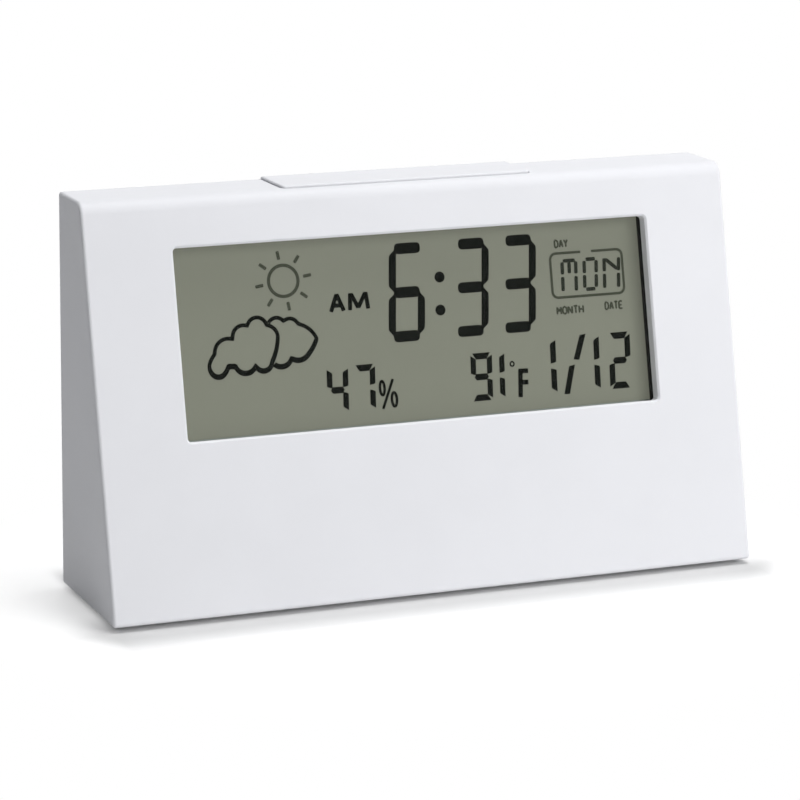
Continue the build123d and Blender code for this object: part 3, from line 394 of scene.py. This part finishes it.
finishes = {
    "white_case": mouldedFinish("satinWhite", {"colour": (0.855, 0.86, 0.892), "rough": 0.52, "shine": 0.3}),
    "grey_key": mouldedFinish("keyGrey", {"colour": (0.42, 0.43, 0.45), "rough": 0.5, "patch": 0.05}),
    "black_foam": mouldedFinish("blackFoam", {
        "colour": (0.016, 0.016, 0.017), "rough": 0.9, "patch": 0.4, "patchScale": 900,
        "grain": 0.6, "grainDepth": 0.08}),
    "foot_rubber": mouldedFinish("footRubber", {
        "colour": (0.26, 0.26, 0.27), "rough": 0.82, "patch": 0.2, "patchScale": 260, "grain": 0.4}),
    "clear_lens": lensFinish("clearLens", lensLook),
    # the film's glow is painted light that evens out the shade in the window's recess
    "display_film": filmFinish("displayGround", {"colour": (0.142, 0.146, 0.118), "rough": 0.5, "paintedGlow": 0.8}),
    "display_glass": mouldedFinish("displayGlass", {
        "colour": (0.5, 0.56, 0.53), "rough": 0.12, "grain": 0.02}),
    "reflector": mouldedFinish("reflector", {
        "colour": (0.62, 0.63, 0.58), "rough": 0.35, "grainScale": 4200}),
    "light_guide": mouldedFinish("lightGuide", {"colour": (0.82, 0.85, 0.87), "rough": 0.14, "grain": 0.03}),
    "lamp": mouldedFinish("lamp", {"colour": (0.88, 0.8, 0.5), "rough": 0.18, "grain": 0.03}),
    "zebra": stripedFinish("zebraStrip", {
        "axis": "X", "pitch": 0.5, "body": (0.3, 0.33, 0.4), "stripe": (0.02, 0.02, 0.02), "rough": 0.7}),
    "frame_plastic": mouldedFinish("frameWhite", {"colour": (0.7, 0.7, 0.67), "rough": 0.55, "patch": 0.06}),
    "board": boardFinish("boardGreen", boardLook),
    "black_plastic": mouldedFinish("partBlack", {"colour": (0.02, 0.02, 0.022), "rough": 0.4, "patch": 0.15}),
    "sensor": mouldedFinish("sensorCase", {"colour": (0.5, 0.58, 0.68), "rough": 0.5, "patch": 0.08}),
    "steel": metalFinish("platedSteel", {
        "colour": (0.6, 0.6, 0.62), "rough": 0.26, "streakScale": 1500, "stretch": (1, 0.2, 1)}),
    "contact_metal": metalFinish("nickel", {
        "colour": (0.72, 0.7, 0.66), "rough": 0.16, "streakScale": 1200, "stretch": (1, 1, 0.15)}),
    "cell": cellFinish("cellSleeve", cellLook),
    "red_wire": mouldedFinish("redWire", {"colour": (0.42, 0.018, 0.014), "rough": 0.42, "patch": 0.12}),
    "black_wire": mouldedFinish("blackWire", {"colour": (0.014, 0.014, 0.015), "rough": 0.42, "patch": 0.2}),
    "ribbon": stripedFinish("ribbonGrey", {
        "axis": "X", "pitch": 1.0, "body": (0.36, 0.36, 0.38), "stripe": (0.22, 0.22, 0.24), "rough": 0.5}),
}
for row in frame["record"]["subparts"]:
    node, finish = nodes[row["node"]], finishes[row["material_slot"]]
    if not node.material_slots:
        node.data.materials.append(finish)
    for slot in node.material_slots:
        slot.material = finish
print("finishes on", len(nodes), "nodes:", len(finishes))


# The display's marks, in mm on the display: u to the right from the middle, v up the slope of the front.

face = {
    "foot": (0.0, -18.0, 1.0),  # where the front meets the base
    "setback": 18.0,  # how far the front leans back over its rise
    "rise": 82.0,
    "ground": 4.8,  # depth of the display's front film behind the front
    "lift": 0.012,  # marks stand this far off the film
    "thick": 0.03,
}


def onDisplay(flat):
    # A point, in metres, is the front's foot, then inward to the film, then u right and v up the slope.
    lean = math.atan2(face["setback"], face["rise"])
    right = np.array([1.0, 0.0, 0.0])
    up = np.array([0.0, math.sin(lean), math.cos(lean)])
    inward = np.array([0.0, math.cos(lean), -math.sin(lean)])
    depth = face["ground"] - face["lift"]
    start = np.array(face["foot"]) + inward * depth
    return (start + flat[:, :1] * right + flat[:, 1:] * up) * mm


def gridFaces(rows, columns, wrap=False):  # quads of a grid; wrap joins the last row to the first
    row = np.arange(rows if wrap else rows - 1)[:, None]
    column = np.arange(columns - 1)[None, :]
    first = row * columns + column
    above = (row + 1) % rows * columns + column
    return np.stack([first, above, above + 1, first + 1], axis=-1).reshape(-1, 4)


stripSides = np.array([1.0, 0.0, -1.0])  # a strip's left edge, middle and right edge, in half widths


def bars(ends, width, taper, blunt, steps=13, cut=None):
    # A bar runs straight from one end to the other; its half width is constant and falls to blunt times
    # itself over the last taper mm at both ends, along a quarter circle. One grid for each bar.
    # With cut, 1 or -1 for each bar, its left or right edge alone falls in there, on a straight line, and
    # stops short of the other edge by blunt times the width.
    ends = np.asarray(ends, float).reshape(-1, 2, 2)
    along = ends[:, 1] - ends[:, 0]
    length = np.linalg.norm(along, axis=1)[:, None]
    across = np.stack([-along[:, 1], along[:, 0]], axis=1) / length
    t = 0.5 - 0.5 * np.cos(np.linspace(0, np.pi, steps))[None, :]  # close together near the ends
    inset = np.clip(np.minimum(t, 1 - t) * length / taper, 0, 1)
    if cut is None:
        half = width / 2 * (blunt + (1 - blunt) * np.sqrt(1 - (1 - inset) ** 2))
        side = half[:, :, None] * stripSides
    else:
        hand = np.asarray(cut, float)[:, None, None]
        edge = stripSides * hand
        lost = (1 - inset)[:, :, None] * (1 - blunt) * (1 + edge) / 2
        side = (edge - 2 * lost) * hand * width / 2
    middle = ends[:, 0][:, None] + along[:, None] * t[..., None]
    points = middle[:, :, None] + across[:, None, None] * side[..., None]
    return [(grid.reshape(-1, 2), gridFaces(steps, len(stripSides))) for grid in points]


def slantedBars(ends, width, starts, stops):
    # A bar is a strip of three straight lines, left edge, middle and right edge; each begins and ends its own
    # number of widths past the bar's ends, so that an end can be slanted or pointed.
    ends = np.asarray(ends, float).reshape(-1, 2, 2)
    along = ends[:, 1] - ends[:, 0]
    way = (along / np.linalg.norm(along, axis=1)[:, None])[:, None, :]
    across = np.stack([-way[..., 1], way[..., 0]], axis=-1) * stripSides[:, None] / 2
    width = np.broadcast_to(np.asarray(width, float), (len(ends),))[:, None, None]
    first = ends[:, :1] + (across - way * np.asarray(starts, float)[..., None]) * width
    last = ends[:, 1:] + (across + way * np.asarray(stops, float)[..., None]) * width
    return [(grid.reshape(-1, 2), gridFaces(2, len(stripSides))) for grid in np.stack([first, last], axis=1)]


def ribbon(path, width, closed):
    # A strip of the given width carried along a path, square to it at each point.
    path = np.asarray(path, float)
    if closed:
        way = np.roll(path, -1, axis=0) - np.roll(path, 1, axis=0)
    else:
        way = np.gradient(path, axis=0)
    way /= np.linalg.norm(way, axis=1)[:, None]
    across = np.stack([-way[:, 1], way[:, 0]], axis=1)
    half = np.broadcast_to(np.asarray(width, float) / 2, (len(path),))
    points = path[:, None] + across[:, None] * half[:, None, None] * stripSides[:, None]
    return [(points.reshape(-1, 2), gridFaces(len(path), len(stripSides), closed))]


def disc(middle, radius, steps=17):
    # A square grid pressed into a circle, with no pole: x = s sqrt(1 - t t / 2), y = t sqrt(1 - s s / 2).
    s, t = np.meshgrid(np.linspace(-1, 1, steps), np.linspace(-1, 1, steps))
    unit = np.stack([s * np.sqrt(1 - t * t / 2), t * np.sqrt(1 - s * s / 2)], axis=-1)
    flat = unit * radius + np.asarray(middle)
    return [(flat.reshape(-1, 2), gridFaces(steps, steps)[:, ::-1])]


def ellipse(middle, wide, tall, steps=40):
    # Points round an ellipse: the cosine and sine of even turns, times half its width and half its height.
    angle = np.linspace(0, 2 * np.pi, steps, endpoint=False)
    return np.stack([np.cos(angle) * wide, np.sin(angle) * tall], axis=1) + np.asarray(middle)


def scallops(corners, bulges, steps=14):
    # Arcs from each corner to the next. A bulge is an arc's rise over half its chord, left of its way;
    # a point is the arc's centre plus the first spoke, turned by a share of the whole angle, 4 atan(bulge).
    corners, bulge = np.asarray(corners, float), np.asarray(bulges, float)[:, None]
    first, last = corners[:-1], corners[1:]
    chord = last - first
    left = np.stack([-chord[:, 1], chord[:, 0]], axis=1)
    centre = (first + last) / 2 + left * (bulge * bulge - 1) / (4 * bulge)
    angle = -4 * np.arctan(bulge) * np.linspace(0, 1, steps, endpoint=False)[None, :]
    spoke = first - centre
    x = centre[:, :1] + spoke[:, :1] * np.cos(angle) - spoke[:, 1:] * np.sin(angle)
    y = centre[:, 1:] + spoke[:, :1] * np.sin(angle) + spoke[:, 1:] * np.cos(angle)
    return np.concatenate([np.stack([x, y], axis=-1).reshape(-1, 2), last[-1:]])


def markPiece(name, patches, ink):  # joins patches into one piece of thin closed plates on the display
    counts = np.cumsum([0] + [len(points) for points, quads in patches])
    flat = np.concatenate([points for points, quads in patches])
    quads = np.concatenate([quads + start for (points, quads), start in zip(patches, counts)])[:, ::-1]
    mesh = bpy.data.meshes.new(name)
    mesh.from_pydata(onDisplay(flat).tolist(), [], quads.tolist())
    mesh.materials.append(ink)
    piece = bpy.data.objects.new(name, mesh)
    scene.collection.objects.link(piece)
    wall = piece.modifiers.new("thickness", "SOLIDIFY")
    wall.thickness, wall.offset = face["thick"] * mm, 1.0
    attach(piece, "case")


segmentEnds = {  # a digit's bars between its left and right posts, 0 to 1, and its levels, 0 low to 2 high
    "a": ((0, 2), (1, 2)),
    "b": ((1, 1), (1, 2)),
    "c": ((1, 0), (1, 1)),
    "d": ((0, 0), (1, 0)),
    "e": ((0, 0), (0, 1)),
    "f": ((0, 1), (0, 2)),
    "g": ((0, 1), (1, 1)),
}
flatBars = "adg"  # the others are posts
digitBars = {"1": "bc", "2": "abged", "3": "abgcd", "4": "fgbc", "6": "afgecd", "7": "abc", "9": "abfgcd"}
outerSide = {"a": 1, "b": -1, "c": -1, "d": -1, "e": 1, "f": 1, "g": 1}  # 1 is the left of the bar's way
barEnds = {  # shapes of a small figure's bars at their start and stop
    "a": ("corner", "corner"),
    "b": ("cross", "corner"),
    "c": ("corner", "cross"),
    "d": ("corner", "corner"),
    "e": ("corner", "cross"),
    "f": ("cross", "corner"),
    "g": ("tip", "tip"),
}
endReach = {  # how far a bar's outer edge, middle and inner edge go past its end, in widths
    "corner": (0.12, -0.17, -0.5),
    "cross": (-0.68, -0.48, -0.4),
    "tip": (-0.52, -0.14, -0.52),
}


def barLines(names, left, spec, trim=0.0):
    # Middle lines of a figure's bars: u = left + post spacing * x + lean * height, v = foot + level * rise.
    ends = np.array([segmentEnds[name] for name in names], float).reshape(-1, 2, 2)
    flat = ends * np.array([spec["spacing"], spec["rise"]])
    way = flat[:, 1] - flat[:, 0]
    way /= np.linalg.norm(way, axis=1)[:, None]
    flat[:, 0] += way * trim
    flat[:, 1] -= way * trim
    flat[..., 0] += left + spec["lean"] * flat[..., 1]
    flat[..., 1] += spec["foot"]
    return flat


def largeDigit(sign, left, spec):  # blunt flat bars, and posts whose outer corners are cut off
    flatNames = [name for name in digitBars[sign] if name in flatBars]
    postNames = [name for name in digitBars[sign] if name not in flatBars]
    flats = barLines(flatNames, left, spec, spec["barTrim"])
    posts = barLines(postNames, left, spec, spec["postTrim"])
    outer = [outerSide[name] for name in postNames]
    made = bars(flats, spec["bar"], spec["bar"] * spec["barTaper"], spec["barBlunt"])
    return made + bars(posts, spec["post"], spec["post"] * spec["postTaper"], spec["postBlunt"], cut=outer)


def smallDigit(sign, left, spec):  # bars with slanted ends, long on the outside of the figure
    names = digitBars[sign]
    width = [spec["bar"] if name in flatBars else spec["post"] for name in names]
    # A reach goes from the outer edge inward, so it is turned round where that is the right edge.
    starts, stops = [[endReach[barEnds[name][end]][::outerSide[name]] for name in names] for end in (0, 1)]
    return slantedBars(barLines(names, left, spec), width, starts, stops)


print("display marks:")
# the inks glow a little too, painted light like the film's
darkInk = filmFinish("displayDark", {"colour": (0.004, 0.005, 0.0036), "rough": 0.7, "paintedGlow": 0.0})
midInk = filmFinish("displayMid", {"colour": (0.026, 0.029, 0.022), "rough": 0.7, "paintedGlow": 0.1})
fineInk = filmFinish("displayFine", {"colour": (0.055, 0.06, 0.044), "rough": 0.7, "paintedGlow": 0.2})

timeMarks = {
    "figure": {
        "foot": 52.72,  # v of the lowest bar
        "spacing": 6.4,  # from post to post
        "rise": 8.96,  # from level to level
        "lean": 0.085,  # to the right, for each mm of height
        "bar": 2.25,  # width of the flat bars
        "barTrim": 0.36,  # taken off each end
        "barTaper": 0.42,  # in bar widths
        "barBlunt": 0.3,
        "post": 1.6,  # width of the posts
        "postTrim": 0.06,
        "postTaper": 0.85,  # in post widths
        "postBlunt": 0.2,
    },
    "figures": (("6", -4.91), ("3", 9.26), ("3", 19.89)),  # sign, and u of its left post at the foot
    "dots": ((6.48, 64.26), (6.11, 57.5)),
    "dotRadius": 1.12,
}
patches = []
for sign, left in timeMarks["figures"]:
    patches += largeDigit(sign, left, timeMarks["figure"])
for dot in timeMarks["dots"]:
    patches += disc(dot, timeMarks["dotRadius"])
markPiece("display_time", patches, darkInk)

halfDay = {
    "strokes": (
        ((-17.75, 58.85), (-16.3, 62.35)), ((-16.3, 62.35), (-14.95, 58.9)),
        ((-17.05, 60.05), (-15.6, 60.05)),
        ((-13.6, 58.9), (-13.35, 62.35)), ((-13.2, 62.25), (-11.8, 59.3)),
        ((-11.8, 59.3), (-10.05, 62.3)), ((-9.98, 62.35), (-9.65, 58.95)),
    ),
    "pen": {"width": 0.87, "taper": 0.12, "blunt": 0.8},
}
markPiece("display_half_day", bars(halfDay["strokes"], **halfDay["pen"]), darkInk)

humidityMarks = {
    "figure": {"foot": 38.86, "spacing": 3.45, "rise": 4.07, "lean": 0.055, "bar": 1.35, "post": 1.2},
    "figures": (("4", -19.57), ("7", -13.69)),
    "rings": (((-7.98, 42.55), 0.5, 1.42), ((-5.53, 40.07), 0.55, 1.42)),  # middle, half width and height
    "stroke": ((-8.13, 38.3), (-5.55, 44.25)),
    "pen": {"width": 0.58, "taper": 0.1, "blunt": 0.8},
}
patches = []
for sign, left in humidityMarks["figures"]:
    patches += smallDigit(sign, left, humidityMarks["figure"])
for middle, wide, tall in humidityMarks["rings"]:
    patches += ribbon(ellipse(middle, wide, tall), humidityMarks["pen"]["width"], True)
patches += bars([humidityMarks["stroke"]], **humidityMarks["pen"])
markPiece("display_humidity", patches, darkInk)

temperatureMarks = {
    "figure": {"foot": 38.82, "spacing": 3.62, "rise": 4.28, "lean": 0.05, "bar": 1.32, "post": 1.18},
    "figures": (("9", 12.07), ("1", 14.85)),
    "degree": ((21.08, 45.22), 0.42, 0.46),  # middle, half width and height
    "degreeWidth": 0.32,
    "strokes": (
        ((22.43, 38.2), (22.85, 44.1)), ((23.1, 43.6), (24.55, 43.55)), ((22.9, 41.25), (24.42, 41.2)),
    ),
    "pen": {"width": 1.0, "taper": 0.15, "blunt": 0.75},
}
patches = ribbon(ellipse(*temperatureMarks["degree"]), temperatureMarks["degreeWidth"], True)
for sign, left in temperatureMarks["figures"]:
    patches += smallDigit(sign, left, temperatureMarks["figure"])
patches += bars(temperatureMarks["strokes"], **temperatureMarks["pen"])
markPiece("display_temperature", patches, darkInk)

dateMarks = {
    "figure": {"foot": 38.87, "spacing": 3.68, "rise": 5.2, "lean": 0.035, "bar": 1.38, "post": 1.28},
    "figures": (("1", 26.53), ("1", 36.44), ("2", 43.57)),
    "slash": (((32.97, 38.0), (34.57, 43.86)), ((35.67, 44.97), (37.5, 50.1))),
    "slashPen": {"width": 1.25, "starts": (0.1, 0.0, -0.1), "stops": (-0.25, 0.0, 0.25)},
}
patches = slantedBars(dateMarks["slash"], **dateMarks["slashPen"])
for sign, left in dateMarks["figures"]:
    patches += smallDigit(sign, left, dateMarks["figure"])
markPiece("display_date", patches, darkInk)

dayMarks = {
    "strokes": (
        ((34.3, 65.65), (37.05, 65.65)), ((34.1, 65.4), (34.02, 62.85)), ((34.0, 62.35), (33.88, 59.4)),
        ((35.68, 65.3), (35.6, 63.0)), ((37.22, 65.4), (37.08, 62.85)), ((37.05, 62.35), (36.9, 59.3)),
        ((39.5, 65.65), (41.65, 65.65)), ((39.15, 65.35), (39.02, 62.8)), ((39.0, 62.4), (38.87, 59.75)),
        ((41.9, 65.35), (41.72, 62.8)), ((41.7, 62.4), (41.5, 59.75)), ((39.15, 59.42), (41.25, 59.42)),
        ((43.75, 65.6), (43.6, 62.85)), ((43.58, 62.35), (43.4, 59.4)), ((47.1, 65.6), (46.85, 62.85)),
        ((46.82, 62.35), (46.6, 59.4)), ((44.0, 65.4), (46.6, 63.2)),
    ),
    "pen": {"width": 0.78, "taper": 0.3, "blunt": 0.4},
}
markPiece("display_day", bars(dayMarks["strokes"], **dayMarks["pen"]), midInk)

dayFrame = {
    "left": 31.45,
    "right": 47.85,
    "low": 58.1,
    "high": 67.3,
    "corner": 1.3,
    "gap": (38.45, 40.9),  # where the top line is open, from left to right
    "width": 0.55,
}


def frameOutline(spec, steps=9):
    # A rounded rectangle, walked from the right end of its gap to the left, with quarter circles as corners.
    r = spec["corner"]
    middles = np.array([
        (spec["right"] - r, spec["high"] - r), (spec["right"] - r, spec["low"] + r),
        (spec["left"] + r, spec["low"] + r), (spec["left"] + r, spec["high"] - r),
    ])
    starts = np.radians([90.0, 0.0, -90.0, -180.0])[:, None]
    angle = starts - np.linspace(0, np.pi / 2, steps)[None, :]
    arcs = middles[:, None] + r * np.stack([np.cos(angle), np.sin(angle)], axis=-1)
    gapStart, gapEnd = spec["gap"]
    return np.concatenate([[(gapEnd, spec["high"])], arcs.reshape(-1, 2), [(gapStart, spec["high"])]])


markPiece("display_day_frame", ribbon(frameOutline(dayFrame), dayFrame["width"], False), fineInk)

strokeLetters = {  # straight strokes in a box one wide and one tall
    "A": ((0, 0, 0.5, 1), (0.5, 1, 1, 0), (0.22, 0.36, 0.78, 0.36)),
    "D": (
        (0, 0, 0, 1), (0, 1, 0.6, 1), (0.6, 1, 1, 0.68),
        (1, 0.68, 1, 0.32), (1, 0.32, 0.6, 0), (0.6, 0, 0, 0),
    ),
    "E": ((0, 0, 0, 1), (0, 1, 1, 1), (0, 0.5, 0.8, 0.5), (0, 0, 1, 0)),
    "H": ((0, 0, 0, 1), (1, 0, 1, 1), (0, 0.5, 1, 0.5)),
    "M": ((0, 0, 0, 1), (0, 1, 0.5, 0.35), (0.5, 0.35, 1, 1), (1, 1, 1, 0)),
    "N": ((0, 0, 0, 1), (0, 1, 1, 0), (1, 0, 1, 1)),
    "O": (
        (0, 0.28, 0, 0.72), (0, 0.72, 0.3, 1), (0.3, 1, 0.7, 1), (0.7, 1, 1, 0.72),
        (1, 0.72, 1, 0.28), (1, 0.28, 0.7, 0), (0.7, 0, 0.3, 0), (0.3, 0, 0, 0.28),
    ),
    "T": ((0, 1, 1, 1), (0.5, 1, 0.5, 0)),
    "Y": ((0, 1, 0.5, 0.48), (1, 1, 0.5, 0.48), (0.5, 0.48, 0.5, 0)),
}
smallWords = {
    "words": (  # text, left end, right end and foot
        ("DAY", 32.75, 35.65, 68.55), ("MONTH", 32.2, 38.1, 54.65), ("DATE", 43.2, 47.1, 54.9),
    ),
    "tall": 1.5,
    "space": 0.42,  # between letters, in letter widths
    "pen": {"width": 0.4, "taper": 0.08, "blunt": 0.7, "steps": 5},
}


def word(text, left, right, low, spec):  # letters of equal width, spread from left to right
    wide = (right - left) / (len(text) + spec["space"] * (len(text) - 1))
    pace = 1 + spec["space"]
    strokes = [np.array(strokeLetters[letter], float).reshape(-1, 2, 2) + np.array([step * pace, 0])
               for step, letter in enumerate(text)]
    ends = np.concatenate(strokes) * np.array([wide, spec["tall"]]) + np.array([left, low])
    return bars(ends, **spec["pen"])


patches = []
for text, left, right, low in smallWords["words"]:
    patches += word(text, left, right, low, smallWords)
markPiece("display_words", patches, fineInk)

sun = {
    "middle": (-27.45, 65.85),
    "radius": 3.15,
    "steps": 64,
    "rays": 8,
    "turn": 8.0,  # degrees, of the first ray
    "rayReach": (4.35, 6.1),  # from the middle
    "pen": {"width": 0.68, "taper": 0.15, "blunt": 0.7},
}
rayAngle = np.radians(sun["turn"]) + np.arange(sun["rays"]) * 2 * np.pi / sun["rays"]
rayWay = np.stack([np.cos(rayAngle), np.sin(rayAngle)], axis=1)
rayEnds = np.array(sun["middle"]) + rayWay[:, None] * np.array(sun["rayReach"])[None, :, None]
rim = ellipse(sun["middle"], sun["radius"], sun["radius"], sun["steps"])
patches = ribbon(rim, sun["pen"]["width"], True) + bars(rayEnds, **sun["pen"])
markPiece("display_sun", patches, fineInk)

clouds = {
    "near": {
        "corners": (
            (-40.5, 49.6), (-41.5, 48.0), (-43.6, 47.9), (-44.4, 50.3), (-43.15, 52.2), (-39.1, 54.9),
            (-35.85, 57.35), (-31.75, 57.2), (-29.55, 54.9), (-31.2, 49.7), (-34.7, 49.25), (-39.0, 49.5),
            (-40.5, 49.6),
        ),
        "bulges": (0.12, 0.35, 0.3, 0.12, 0.55, 0.6, 0.8, 0.35, 0.12, 0.8, 0.7, 0.1),
        "closed": True,
    },
    "far": {
        "corners": (
            (-31.3, 57.6), (-28.1, 57.75), (-25.0, 56.95), (-21.3, 53.75), (-23.4, 50.6), (-27.0, 50.15),
            (-30.75, 49.25),
        ),
        "bulges": (0.55, 0.5, 0.24, 0.1, 0.4, 0.55),
        "closed": False,
    },
    "width": 0.8,
    "swell": 0.35,  # extra width where the outline faces down
}
patches = []
for cloud in (clouds["near"], clouds["far"]):
    path = scallops(cloud["corners"], cloud["bulges"])
    if cloud["closed"]:
        path = path[:-1]
    slope = np.gradient(path, axis=0)
    facing = np.clip(-slope[:, 0] / np.linalg.norm(slope, axis=1), 0, 1)  # 1 where the way runs to the left
    patches += ribbon(path, clouds["width"] + clouds["swell"] * facing, cloud["closed"])
markPiece("display_clouds", patches, darkInk)
print("  marks done")


# Stage: a pale floor that shows white where no shadow falls, with a painted shadow round the base, white all
# round, three soft lamps.

studio = {
    "floorSize": 6.0,  # metres
    "floorColour": (0.7, 0.7, 0.7),
    "floorLift": 0.5,  # added where the floor is seen, so that its open part is white
    "leastLift": 0.06,  # share of it under the base, a painted shadow there
    "baseHalf": (0.07, 0.018),  # half the base's length and depth
    "paintedShadowRamp": (0.002, 0.017),  # metres from the base over which the lift grows; the painted shadow before the base spans this
    "sidePace": 1.5,  # how much sooner it grows beside the base than before it
    "sideEdge": (-0.003, 0.0005),  # beside the base it is whole at once, from here
    "cornerRamp": (-0.015, 0.006),  # and that part dies away towards the front
    "clearing": (0.07, 0.1),  # metres from the middle over which the floor turns plain white
    "whiteStrength": 1.0,  # at which the far floor and the backdrop are seen as white
    "ambient": 0.125,
    "ambientColour": (0.93, 0.96, 1.0),
    "lamps": (  # place and side in metres, watts; low ones aren't mirrored, so that they leave no glare
        {"name": "topLamp", "place": (0.16, -0.06, 1.05), "size": 0.5, "power": 5.7, "mirrored": True},
        {"name": "backLamp", "place": (0.25, 1.1, 0.6), "size": 0.6, "power": 5.0, "mirrored": False},
        {"name": "frontLamp", "place": (0.3, -0.61, 0.31), "size": 0.45, "power": 3.1, "mirrored": False},
    ),
    "lampAim": (0, 0, 0.04),
}


def seenRays(sheet):  # 1 on rays seen straight, mirrored or through glass, 0 on light that falls on things
    rays = [sheet.node("ShaderNodeLightPath", output=name)
            for name in ("Is Camera Ray", "Is Glossy Ray", "Is Transmission Ray")]
    return (rays[0] + rays[1] + rays[2]).smooth(0.0, 1.0)


def liftWithPaintedShadow(sheet, spot, spec):
    # Share of the floor's lift at a spot: it grows with the way out from the base, and is whole beside it.
    # Where it is less, near the base, the floor shows a painted contact shadow.
    halfLong, halfDeep = spec["baseHalf"]
    aside = abs(coordinate(sheet, spot, "X")) - halfLong
    back = coordinate(sheet, spot, "Y")
    ahead = abs(back) - halfDeep
    away = sheet.sum("MAXIMUM", aside, 0.0) * spec["sidePace"] + sheet.sum("MAXIMUM", ahead, 0.0)
    openFloor = away.smooth(*spec["paintedShadowRamp"])
    beside = aside.smooth(*spec["sideEdge"]) * (1 - (-halfDeep - back).smooth(*spec["cornerRamp"]))
    return sheet.sum("MAXIMUM", openFloor + beside * (1 - openFloor), spec["leastLift"])


def floorFinish(name, spec):  # lit and lifted near the object, less lifted round the base as a painted shadow, plain white farther out
    material, sheet = startFinish(name)
    soft = sheet.node("ShaderNodeBsdfDiffuse", None, {"Color": rgb(spec["floorColour"])})
    spot = place(sheet)
    level = liftWithPaintedShadow(sheet, spot, spec)
    paintedGlow = (seenRays(sheet) * level).between(rgb(plainBlack), rgb(plainWhite))
    lift = sheet.node("ShaderNodeEmission", None, {"Color": paintedGlow, "Strength": spec["floorLift"]})
    near = sheet.node("ShaderNodeAddShader", None, {0: soft, 1: lift})
    white = {"Color": rgb(plainWhite), "Strength": spec["whiteStrength"]}
    far = sheet.node("ShaderNodeEmission", None, white)
    reach = sheet.node("ShaderNodeVectorMath", {"operation": "LENGTH"}, {0: spot}, "Value")
    fade = reach.smooth(*spec["clearing"]) * seenRays(sheet)
    both = sheet.node("ShaderNodeMixShader", None, {0: fade, 1: near, 2: far})
    return endFinish(material, sheet, both)


def layFloor(spec):  # a flat square
    half = spec["floorSize"] / 2
    side = np.array([-half, half])
    x, y = np.meshgrid(side, side)
    points = np.stack([x, y, np.zeros_like(x)], axis=-1).reshape(-1, 3)
    mesh = bpy.data.meshes.new("floor")
    mesh.from_pydata(points.tolist(), [], gridFaces(2, 2)[:, ::-1].tolist())
    floor = bpy.data.objects.new("floor", mesh)
    scene.collection.objects.link(floor)
    mesh.materials.append(floorFinish("floorPale", spec))


def lightWorld(spec):  # a little even light, and a backdrop that is seen as white
    world = bpy.data.worlds.new("studio")
    scene.world = world
    world.use_nodes = True
    world.node_tree.nodes.clear()
    sheet = Wire(world.node_tree)
    even = {"Color": rgb(spec["ambientColour"]), "Strength": spec["ambient"]}
    light = sheet.node("ShaderNodeBackground", None, even)
    white = {"Color": rgb(plainWhite), "Strength": spec["whiteStrength"]}
    backdrop = sheet.node("ShaderNodeBackground", None, white)
    sky = sheet.node("ShaderNodeMixShader", None, {0: seenRays(sheet), 1: light, 2: backdrop})
    sheet.node("ShaderNodeOutputWorld", None, {"Surface": sky})


def hangLamps(spec):
    for row in spec["lamps"]:
        data = bpy.data.lights.new(row["name"], "AREA")
        data.shape, data.size, data.energy = "SQUARE", row["size"], row["power"]
        lamp = bpy.data.objects.new(row["name"], data)
        lamp.location = row["place"]
        lamp.visible_glossy = row["mirrored"]
        aim = Vector(spec["lampAim"]) - Vector(row["place"])
        lamp.rotation_mode = "QUATERNION"
        lamp.rotation_quaternion = aim.to_track_quat("-Z", "Y")
        scene.collection.objects.link(lamp)


layFloor(studio)
lightWorld(studio)
hangLamps(studio)
scene.view_settings.view_transform = "Standard"
print("stage set")
